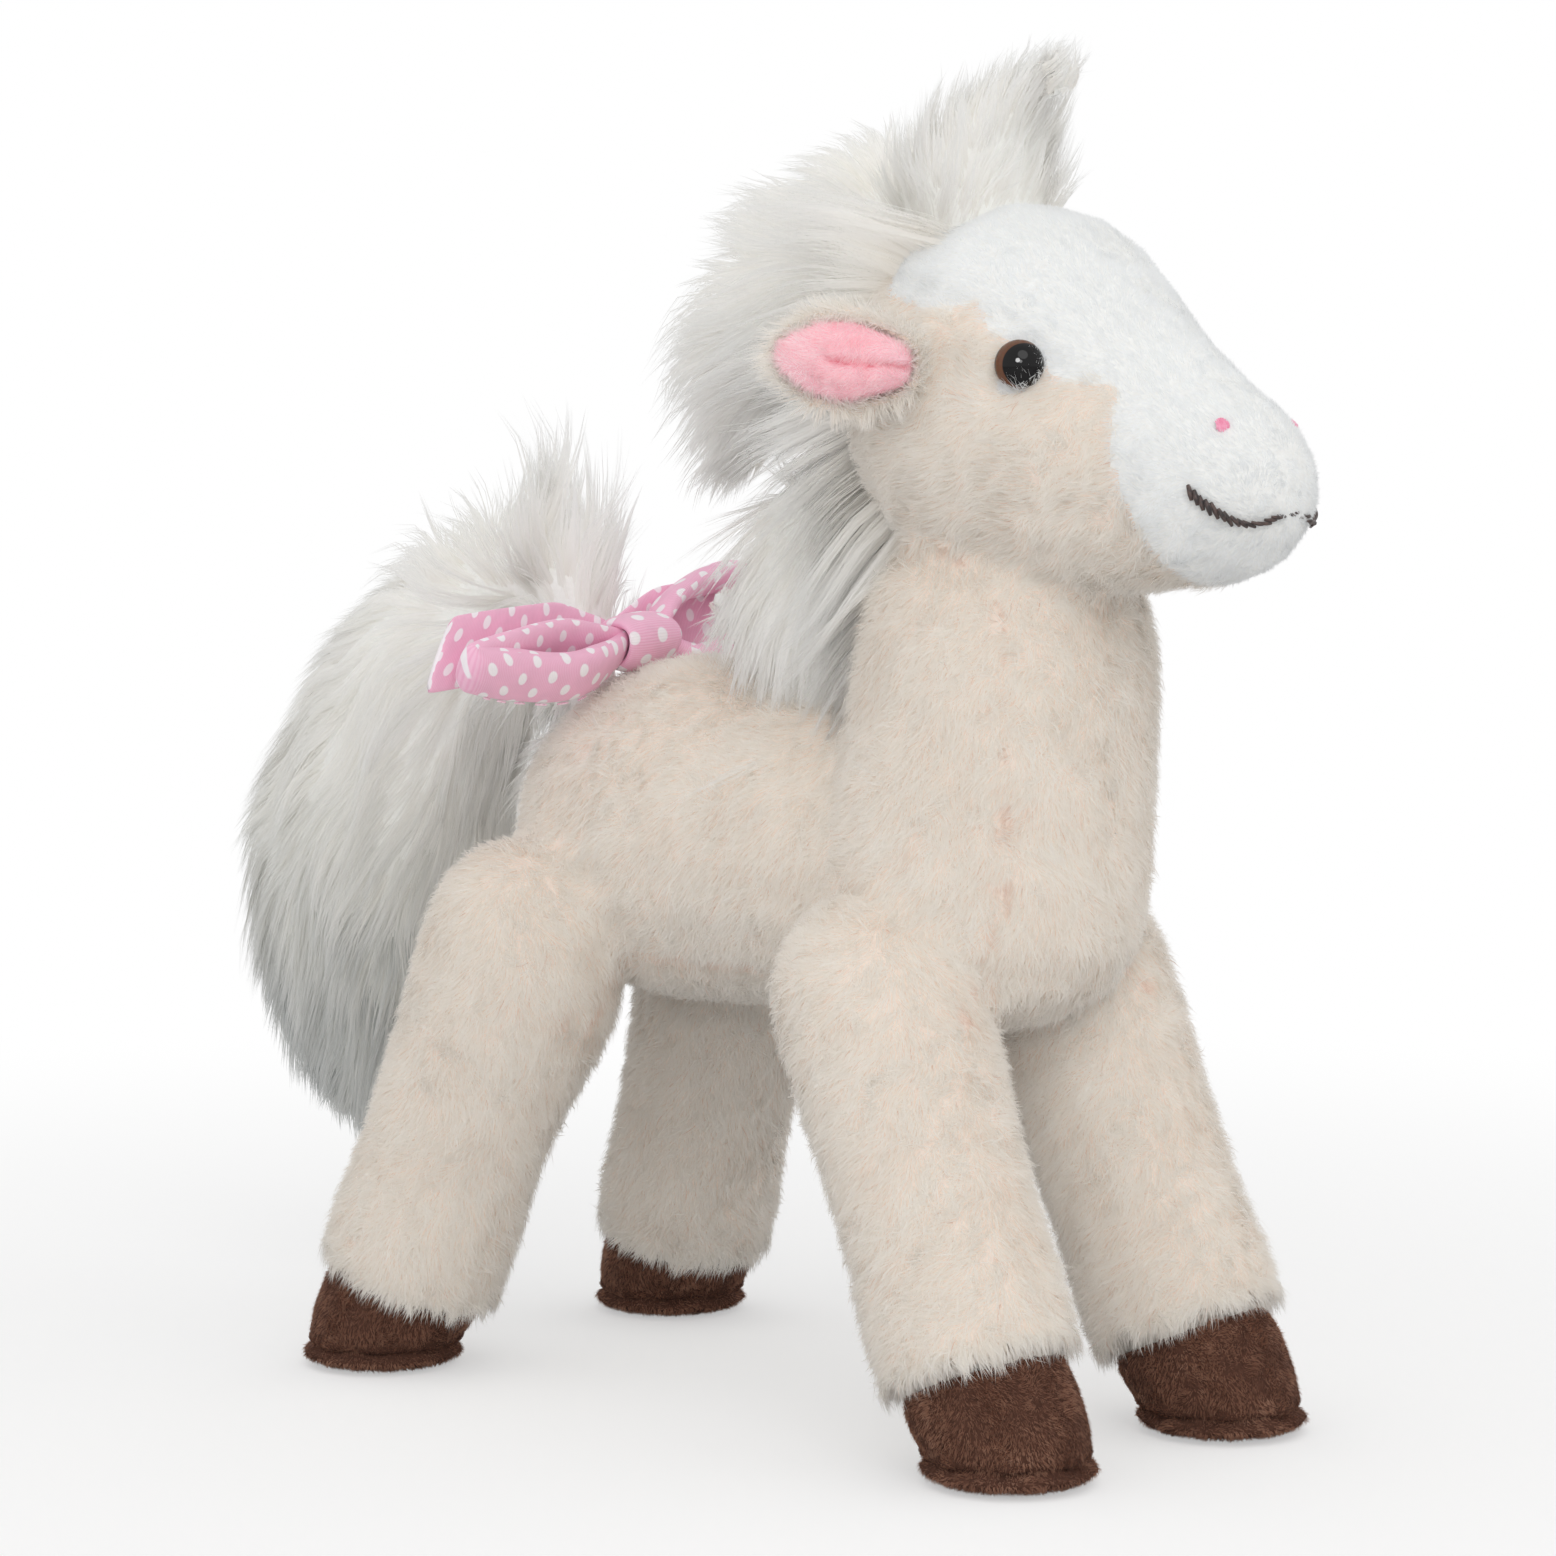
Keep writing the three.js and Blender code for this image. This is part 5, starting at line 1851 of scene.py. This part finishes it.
@dataclass
class Stitches:
    """The embroidered mouth and nostrils."""

    count: int = 34
    stitch: float = 3.2 * MM
    slant: float = 0.55
    trim: float = 1.4 * MM
    thread: float = 0.46 * MM
    proud: float = 0.35 * MM
    sunk: float = 0.3 * MM
    dot_count: int = 7
    dot_wide: float = 1.15 * MM
    dot_high: float = 1.45 * MM
    dot_thread: float = 0.27 * MM

    MUZZLE = (0.0, -0.118, 0.19)

    def threads(self, name: str, runs: list[list[tuple[Vector, float]]], thickness: float,
                finish: ThreadFinish) -> Piece:
        """Draw threads as round cords and make them one mesh.

        Args:
            name: The piece's name.
            runs: For each thread its points, each with a share of the thickness.
            thickness: Half the thread's thickness.
            finish: The thread.

        Returns:
            The piece.
        """
        curve = bpy.data.curves.new(name, "CURVE")
        curve.dimensions = "3D"
        curve.bevel_depth = thickness
        curve.bevel_resolution = 2
        curve.use_fill_caps = True
        for run in runs:
            spline = curve.splines.new("POLY")
            spline.points.add(len(run) - 1)
            for point, (place, share) in zip(spline.points, run):
                point.co = (*place, 1)
                point.radius = share
        select_only(put(name, curve))
        bpy.ops.object.convert(target="MESH")
        piece = bpy.context.object
        finish.cover(piece)
        shade_smooth(piece)
        report(piece)
        return piece

    def mouth(self) -> None:
        """Sew the mouth along its line, in long overlapping stitches."""
        points = node_points("mouth_stitch")
        places = np.linspace(points[:, 0].min() + 0.6 * MM, points[:, 0].max() - 0.6 * MM, 41)
        line = []
        for place in places:
            near = points[np.argsort(np.abs(points[:, 0] - place))[:10]]
            line.append((near.min(axis=0) + near.max(axis=0)) / 2)
        line = np.array(line)
        for _ in range(3):
            line[1:-1] = (line[:-2] + 2 * line[1:-1] + line[2:]) / 4
        face = node_tree("face_panel", "cheek_right", "cheek_left")
        line = np.array([face.find_nearest(Vector(place))[0] for place in line])
        way_along = np.concatenate([[0.0], np.cumsum(norm(np.diff(line, axis=0), axis=1))])
        total = way_along[-1]
        luck = chance(91)
        runs = []
        for i in range(self.count):
            at = self.trim + (total - 2 * self.trim) * (i + 0.5) / self.count
            ends = [np.array([np.interp(at + step, way_along, line[:, axis]) for axis in range(3)])
                    for step in (-0.8 * MM, 0.0, 0.8 * MM)]
            place = ends[1]
            corner = float(np.interp(min(at, total - at), (0, 10 * MM, 17 * MM), (1.0, 0.6, 0.0)))
            hidden = math.exp(-(place[0] / (4.5 * MM)) ** 4)
            out = unit(place - np.array(self.MUZZLE))
            course = unit(ends[2] - ends[0])
            slant = self.slant * (-1 if at < total / 2 else 1)
            way = unit(course + np.cross(out, course) * slant * (0.6 + corner))
            half = self.stitch * (0.4 + 0.08 * corner) * luck.uniform(0.85, 1.15)
            shift = np.cross(out, course) * luck.normal(scale=0.16 * MM) + out * luck.normal(scale=0.15 * MM)
            run = []
            for share in np.linspace(-1, 1, 6):
                rise = self.proud * (1 - share * share) - self.sunk - 1.4 * MM * hidden
                run.append((Vector(place + shift + way * half * share + out * rise),
                            (1 - 0.35 * abs(share)) * (0.85 + 0.45 * corner)))
            runs.append(run)
        piece = self.threads("mouth_threads", runs, self.thread, BROWN_THREAD)
        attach(piece, "head")
        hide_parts("mouth_stitch")

    def nostrils(self) -> None:
        """Sew each nostril as a small satin-stitch dot."""
        face = node_tree("face_panel")
        for side in Side:
            points = node_points(f"nostril_{side.word}")
            middle = face.find_nearest(Vector((points.min(axis=0) + points.max(axis=0)) / 2))[0]
            out = (middle - Vector(self.MUZZLE)).normalized()
            up = (UP - out * UP.dot(out)).normalized()
            across = out.cross(up)
            runs = []
            last = self.dot_count // 2
            for i in range(-last, last + 1):
                shift = i / last * self.dot_wide
                half = math.sqrt(max(0.1, 1 - (i / (1.2 * last)) ** 2)) * self.dot_high
                run = []
                for share in np.linspace(-1, 1, 5):
                    rise = (1 - share * share) * 0.45 * MM - 0.3 * MM
                    run.append((middle + across * shift + up * (half * share) + out * rise,
                                1.0 - 0.35 * abs(share)))
                runs.append(run)
            piece = self.threads(f"nostril_{side.word}_threads", runs, self.dot_thread, PINK_THREAD)
            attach(piece, "head")
            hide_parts(f"nostril_{side.word}")

    def build(self) -> None:
        """Sew the mouth and the nostrils."""
        self.mouth()
        self.nostrils()


@dataclass
class Bow:
    """A bow of turned dotted ribbon: a knot, two padded loops and two ends behind them."""

    tilt: float = math.radians(5)
    width: float = 15 * MM
    loop_width: float = 11.5 * MM
    loop_length: float = 43 * MM
    loop_half: float = 4.7 * MM
    far_half: float = 7.6 * MM
    far_share: float = 0.62
    lean: float = math.radians(36)
    far_lean: float = math.radians(62)
    lip_thick: float = 7.6 * MM
    wall_thick: float = 5.0 * MM
    sag: float = 2.4 * MM
    end_length: float = 49 * MM
    end_thick: float = 2.0 * MM
    knot_deep: float = 5.6 * MM
    knot_high: float = 4.5 * MM
    knot_thick: float = 3.6 * MM
    loop_stations: int = 48
    end_stations: int = 20
    knot_stations: int = 28
    settled: Vector = field(default_factory=lambda: Vector((-4 * MM, 3 * MM, -1.4 * MM)))
    round: int = 22

    @property
    def middle(self) -> Vector:
        """The middle of the knot."""
        low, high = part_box("bow_knot")
        return (Vector(low) + Vector(high)) / 2 + self.settled

    @property
    def placed(self) -> Matrix:
        """The move and turn that take the bow from the origin to the rump."""
        return Matrix.Translation(self.middle) @ Matrix.Rotation(-self.tilt, 4, "Y")

    def sleeve(self, name: str, run: list[tuple[Vector, Vector, float, float]], node: str,
               closed: bool = False) -> Piece:
        """Sweep a turned ribbon, a flat sleeve with soft edges, along its run.

        Args:
            name: The piece's name.
            run: For each station its middle, its way across, its width and its thickness.
            node: The CAD node that it stands for.
            closed: Whether the last station meets the first.

        Returns:
            The piece.
        """
        mesh = bmesh.new()
        layer = mesh.loops.layers.uv.new("weave")
        rings = []
        girths = []
        length = 0.0
        lengths = []
        for i, (place, across, width, thick) in enumerate(run):
            before = run[i - 1][0] if i or closed else place
            after = run[(i + 1) % len(run)][0] if i + 1 < len(run) or closed else place
            course = (after - before).normalized()
            out = course.cross(across).normalized()
            ring = []
            for j in range(self.round):
                turn = math.tau * j / self.round
                sideways, high = math.cos(turn), math.sin(turn)
                sideways = math.copysign(abs(sideways) ** 0.8, sideways)
                high = math.copysign(abs(high) ** 0.9, high)
                ring.append(mesh.verts.new(place + across * (sideways * width / 2) + out * (high * thick / 2)))
            rings.append(ring)
            girths.append(np.concatenate([[0.0], np.cumsum([(ring[j].co - ring[j - self.round + 1].co).length
                                                            for j in range(self.round)])]))
            lengths.append(length)
            if i + 1 < len(run):
                length += (run[i + 1][0] - place).length
        lengths.append(length + (run[0][0] - run[-1][0]).length)
        last = len(rings) if closed else len(rings) - 1
        for i in range(last):
            first, second = rings[i], rings[(i + 1) % len(rings)]
            around = (girths[i], girths[(i + 1) % len(rings)])
            for j in range(self.round):
                k = (j + 1) % self.round
                face = mesh.faces.new((first[j], first[k], second[k], second[j]))
                for loop, (u, v) in zip(face.loops, ((i, j), (i, j + 1), (i + 1, j + 1), (i + 1, j))):
                    loop[layer].uv = (lengths[u], around[u - i][v])
        if not closed:
            mesh.faces.new(list(reversed(rings[0])))
            mesh.faces.new(rings[-1])
        bmesh.ops.recalc_face_normals(mesh, faces=mesh.faces)
        data = bpy.data.meshes.new(name)
        mesh.to_mesh(data)
        mesh.free()
        data.transform(self.placed)
        piece = put(name, data)
        apply_modifier(piece, "SUBSURF", levels=1, render_levels=1)
        shade_smooth(piece)
        RibbonFinish().cover(piece)
        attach(piece, "trunk")
        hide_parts(node)
        report(piece)
        return piece

    def loop(self, side: Side) -> None:
        """Fold one loop: a thick padded lip in front, and a thinner wall behind and above it.

        Args:
            side: The side of the knot that it is on.
        """
        near = side is Side.RIGHT
        lean = self.lean if near else self.far_lean
        deep = Vector((0, math.cos(lean), math.sin(lean)))
        across = Vector((0, -math.sin(lean), math.cos(lean)))
        run = []
        count = self.loop_stations
        for i in range(count + 1):
            turn = math.pi * (2 * i / count - 1)
            share = (1 - math.cos(math.pi - abs(turn))) / 2
            front = turn < 0
            swell = max(0.0, math.sin(abs(turn))) ** 0.5 * min(1.0, share / (0.35 if near else 0.25)) ** 0.6
            swell *= float(np.interp(share, (0, 0.35, 0.7, 1), (1.0, 1.0, 0.5, 0.3))) if near else 1.0
            half = (self.loop_half if near else self.far_half) * (-1.0 if front else 0.8) * swell
            pinch = float(np.interp(share, (0, 0.3, 0.8, 1), (0.6, 1.0, 1.05, 0.95)))
            thick = (self.lip_thick if front else self.wall_thick) \
                * float(np.interp(share, (0, 0.25, 0.8, 1), (0.5, 0.85, 1.1, 1.0)))
            sag = (-self.sag if front else 0.2 * MM) * math.sin(math.pi * share) \
                + (0 if near else 7 * MM * share)
            wrinkle = 0.3 * MM * math.sin(11 * share + turn) * (1 - share)
            long = self.loop_length * (1.0 if near else self.far_share)
            place = Vector((side.value * (5.0 * MM + long * share), wrinkle, sag + wrinkle))
            run.append((place + deep * half, (across + Vector((0.1 * side.value, 0, 0))).normalized(),
                        self.loop_width * pinch, thick))
        self.sleeve(f"bow_loop_{side.word}_ribbon", run, f"bow_loop_{side.word}")
        self.stitch(side, [(place - way * (width / 2 - 0.5 * MM) - deep * (thick * 0.33))
                           for place, way, width, thick in run[5:count // 2 - 3]])

    def stitch(self, side: Side, edge: list[Vector]) -> None:
        """Sew the loop's lower edge shut with a few short stitches that show.

        Args:
            side: Which loop.
            edge: Places along the edge, from the knot outwards.
        """
        turn = self.placed
        runs = [[(turn @ edge[i], 0.7), (turn @ ((edge[i] + edge[i + 1]) / 2), 1.0), (turn @ edge[i + 1], 0.7)]
                for i in range(0, len(edge) - 1, 2)]
        piece = Stitches().threads(f"bow_stitches_{side.word}", runs, 0.28 * MM, LIGHT_THREAD)
        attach(piece, "trunk")

    def end(self, side: Side) -> None:
        """Lay one end behind its loop, cut on the slant.

        Args:
            side: The side of the knot that it is on.
        """
        run = []
        back = self.width / 2 + 0.6 * MM
        for i in range(self.end_stations):
            share = i / (self.end_stations - 1)
            rise = float(np.interp(share, (0, 0.3, 1), (0.0, 3.2 * MM, 2.2 * MM)))
            sway = 0.7 * MM * math.sin(7 * share)
            wide = self.width * float(np.interp(share, (0, 0.25, 1), (0.55, 0.85, 1.18)))
            place = Vector((side.value * (0.4 * MM + share * self.end_length), back + sway, rise))
            slant = -0.6 * share ** 2 * side.value
            run.append((place, Vector((slant, 0, 1)).normalized(), wide,
                        self.end_thick * (1.0 if share < 0.97 else 0.8)))
        self.sleeve(f"bow_end_{side.word}_ribbon", run, f"bow_end_{side.word}")

    def knot(self) -> None:
        """Wrap the knot's strap once round the middle."""
        run = []
        for i in range(self.knot_stations):
            turn = math.tau * i / self.knot_stations
            squash = 1 + 0.06 * math.sin(3 * turn)
            place = Vector((0.0, math.cos(turn) * self.knot_deep * squash,
                            math.sin(turn) * self.knot_high * squash))
            run.append((place, Vector((1, 0, 0.05 * math.sin(2 * turn))).normalized(), self.width,
                        self.knot_thick))
        self.sleeve("bow_knot_ribbon", run, "bow_knot", closed=True)

    def build(self) -> None:
        """Tie the bow."""
        for side in Side:
            self.end(side)
            self.loop(side)
        self.knot()


@dataclass(frozen=True)
class FloorFinish(Finish):
    """Plain pale matt board that keeps the horse's shadow; to the camera it glows white as painted light, in
    part near the horse, which lightens the shadow there, and fully further off, where it is plain white.
    """

    name: str = "floor_board"
    seen: Colour = (1.0, 1.0, 1.0)
    grain: Colour = (0.985, 0.985, 0.985)
    given: Colour = (0.8, 0.8, 0.8)
    near: float = 0.18
    far: float = 0.6
    least: float = 0.45

    def material(self) -> bpy.types.Material:
        """Make the floor's material.

        Returns:
            The material.
        """
        made = Material(self.name)
        place = made.node("ShaderNodeTexCoord")
        light = made.node("ShaderNodeLightPath")
        grain = made.noise(6.0, 2.0, place.outputs["Object"])
        pale = made.ramp(grain.outputs["Fac"], ((0.0, self.grain), (1.0, self.seen)))
        colour = made.mixed("MIX", light.outputs["Is Camera Ray"], self.given, pale)
        away = made.node("ShaderNodeVectorMath", operation="LENGTH")
        made.link(place.outputs["Object"], away.inputs[0])
        fade = made.node("ShaderNodeMapRange", interpolation_type="SMOOTHSTEP")
        made.link(away.outputs["Value"], fade.inputs["Value"])
        for key, value in (("From Min", self.near), ("From Max", self.far), ("To Min", self.least)):
            fade.inputs[key].default_value = value
        seen = made.node("ShaderNodeMath", operation="MULTIPLY")
        made.link(fade.outputs["Result"], seen.inputs[0])
        made.link(light.outputs["Is Camera Ray"], seen.inputs[1])
        # Painted light: to the camera the floor glows white, in part near the horse and fully further off.
        white = made.node("ShaderNodeEmission")
        white.inputs["Color"].default_value = (1.0, 1.0, 1.0, 1)
        made.mix_surface(seen.outputs[0], white)
        return made.surface(colour, Roughness=0.9, Specular_IOR_Level=0.0)


@dataclass
class Studio:
    """The pale floor, the soft lights and the camera at the photograph's angle."""

    turn: float = math.radians(44.6)
    rise: float = math.radians(4.05)
    distance: float = 905 * MM
    target: Vector = field(default_factory=lambda: Vector((0, -14.3 * MM, 127.7 * MM)))
    view: float = 2 * math.atan(778 / 4352.9)
    sky: float = 0.79
    floor_reach: float = 6.0

    LAMPS = (("key", (-0.75, -1.0, 1.15), 0.9, 3.7), ("front", (-0.95, -0.92, 0.52), 0.24, 1.0))
    GLINT = ("glint", (-1.1, -0.75, 0.62), 0.34, 7.0)

    def camera(self) -> None:
        """Stand the camera where the photograph was taken from."""
        back = Vector((-math.cos(self.turn) * math.cos(self.rise),
                       -math.sin(self.turn) * math.cos(self.rise), math.sin(self.rise)))
        lens = bpy.data.cameras.new("camera")
        lens.sensor_width = 36
        lens.angle = self.view
        lens.clip_start = 0.01
        camera = put("camera", lens)
        camera.location = self.target + back * self.distance
        camera.rotation_euler = (-back).to_track_quat("-Z", "Y").to_euler()
        bpy.context.scene.camera = camera

    def lamps(self) -> None:
        """Hang the soft boxes about the horse, and one that only shines back in the eyes and ribbon."""
        for name, place, size, power in (*self.LAMPS, self.GLINT):
            light = bpy.data.lights.new(f"{name}_light", "AREA")
            light.shape = "DISK"
            light.size = size
            light.energy = power
            lamp = put(f"{name}_light", light)
            lamp.location = place
            lamp.rotation_euler = (Vector(place) - self.target).to_track_quat("Z", "Y").to_euler()
            lamp.visible_diffuse = name != "glint"

    def world(self) -> None:
        """Light the horse evenly all round, and show white behind it."""
        world = bpy.data.worlds.new("studio")
        bpy.context.scene.world = world
        world.use_nodes = True
        tree = world.node_tree
        sky = tree.nodes["Background"]
        sky.inputs["Color"].default_value = (1.0, 1.0, 1.0, 1)
        sky.inputs["Strength"].default_value = self.sky
        seen = tree.nodes.new("ShaderNodeBackground")
        seen.inputs["Color"].default_value = (1.0, 1.0, 1.0, 1)
        seen.inputs["Strength"].default_value = 1.0
        light = tree.nodes.new("ShaderNodeLightPath")
        share = light.outputs["Is Camera Ray"]
        for ray in ("Is Glossy Ray", "Is Transmission Ray"):
            more = tree.nodes.new("ShaderNodeMath")
            more.operation = "MAXIMUM"
            tree.links.new(share, more.inputs[0])
            tree.links.new(light.outputs[ray], more.inputs[1])
            share = more.outputs[0]
        mix = tree.nodes.new("ShaderNodeMixShader")
        tree.links.new(share, mix.inputs[0])
        tree.links.new(sky.outputs[0], mix.inputs[1])
        tree.links.new(seen.outputs[0], mix.inputs[2])
        tree.links.new(mix.outputs[0], tree.nodes["World Output"].inputs["Surface"])

    def build(self) -> None:
        """Set the floor, the lights, the sky and the camera."""
        bpy.ops.mesh.primitive_plane_add(size=self.floor_reach)
        floor = bpy.context.object
        floor.name = "floor"
        FloorFinish().cover(floor)
        self.lamps()
        self.world()
        self.camera()
        bpy.context.scene.view_settings.view_transform = "Standard"


TAIL_ROOT = joint_place("tail_swing")

HAIR = [
    Hair("tail", "tail",
         (Flow("tail", source=TAIL_ROOT + Vector((0, -8 * MM, 4 * MM)), fall=1.3, fall_below=0.165,
               fall_over=70 * MM, proud=1 * MM),
          Flow("tail", source=Vector((0, 0.050, 0.145)), sweep=(0.0, -0.35, 0.9), fall=0.0, length=30 * MM,
               lift=0.3, proud=13 * MM, about=(0.0, 0.050, 0.182), about_reach=13 * MM)),
         layers=2, grey_below=0.157, dense=True, seed=51,
         thin=(((0, 0.078, 0.184), 24 * MM, 6.5 * MM), ((0, 0.122, 0.160), 28 * MM, 3 * MM),
               ((-0.012, 0.046, 0.146), 16 * MM, -5 * MM))),
    Hair("mane", "head",
         (Flow("crown_mane", source=Vector((0, -0.076, 0.200)), sweep=(0.0, 0.35, -0.2), fall=1.0,
               fall_below=0.235, fall_over=50 * MM, length=35 * MM, lay=0.6, lift=0.32, proud=4 * MM),
          Flow("forelock", source=Vector((0, -0.062, 0.222)), sweep=(0.0, -0.12, 0.35), fall=0.0,
               lift=0.3, length=21 * MM, proud=1.6 * MM)),
         sewn_to=SewnCloth.HEAD_NODES, gather=0.6, seed=61,
         thin=(((0, -0.002, 0.200), 18 * MM, 3.5 * MM), ((0, -0.094, 0.274), 13 * MM, 7.5 * MM),
               ((0, -0.096, 0.242), 13 * MM, 7.5 * MM), ((0, -0.030, 0.190), 14 * MM, -3.5 * MM))),
    Hair("neck_mane", "trunk",
         (Flow("neck_mane", source=Vector((0, -0.05, 0.215)), sweep=(0.0, 0.1, -0.8), fall=1.0,
               fall_below=0.22, fall_over=50 * MM, length=30 * MM, lay=0.5, lift=0.3, proud=4 * MM),),
         sewn_to=SewnCloth.TRUNK_NODES, gather=0.6, seed=71,
         thin=(((-0.010, -0.004, 0.148), 14 * MM, 4 * MM), ((0, 0.000, 0.172), 16 * MM, 3 * MM),
               ((0, -0.020, 0.190), 10 * MM, -4 * MM))),
]
MANE_SEAM = ManeSeam(
    "mane_seam", "head",
    (Flow("crown_mane", source=Vector((0, -0.085, 0.205)), sweep=(0.0, 0.85, -0.25), fall=0.6,
          fall_below=0.225, fall_over=50 * MM, length=37 * MM, lay=0.2, lift=0.4),), density=3.2, seed=95)
RUMP = RumpHair(
    "rump", "trunk",
    (Flow("tail", source=Vector((0, 0.010, 0.150)), sweep=(0.0, 0.5, -0.35), fall=0.7,
          fall_below=0.160, fall_over=40 * MM, length=17 * MM, lay=0.5, lift=0.3),), density=2.4, seed=99)


def main() -> None:
    """Build the horse piece by piece."""
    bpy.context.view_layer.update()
    cloth = SewnCloth()
    cloth.build()
    cloth.dress()
    cloth.ride()
    for hair in HAIR:
        hair.grow()
    MANE_SEAM.grow_on(cloth)
    RUMP.grow_on(cloth)
    Hooves().build()
    Ears().build()
    Eyes().build()
    Stitches().build()
    Bow().build()
    Studio().build()


if __name__ == "__main__":
    main()
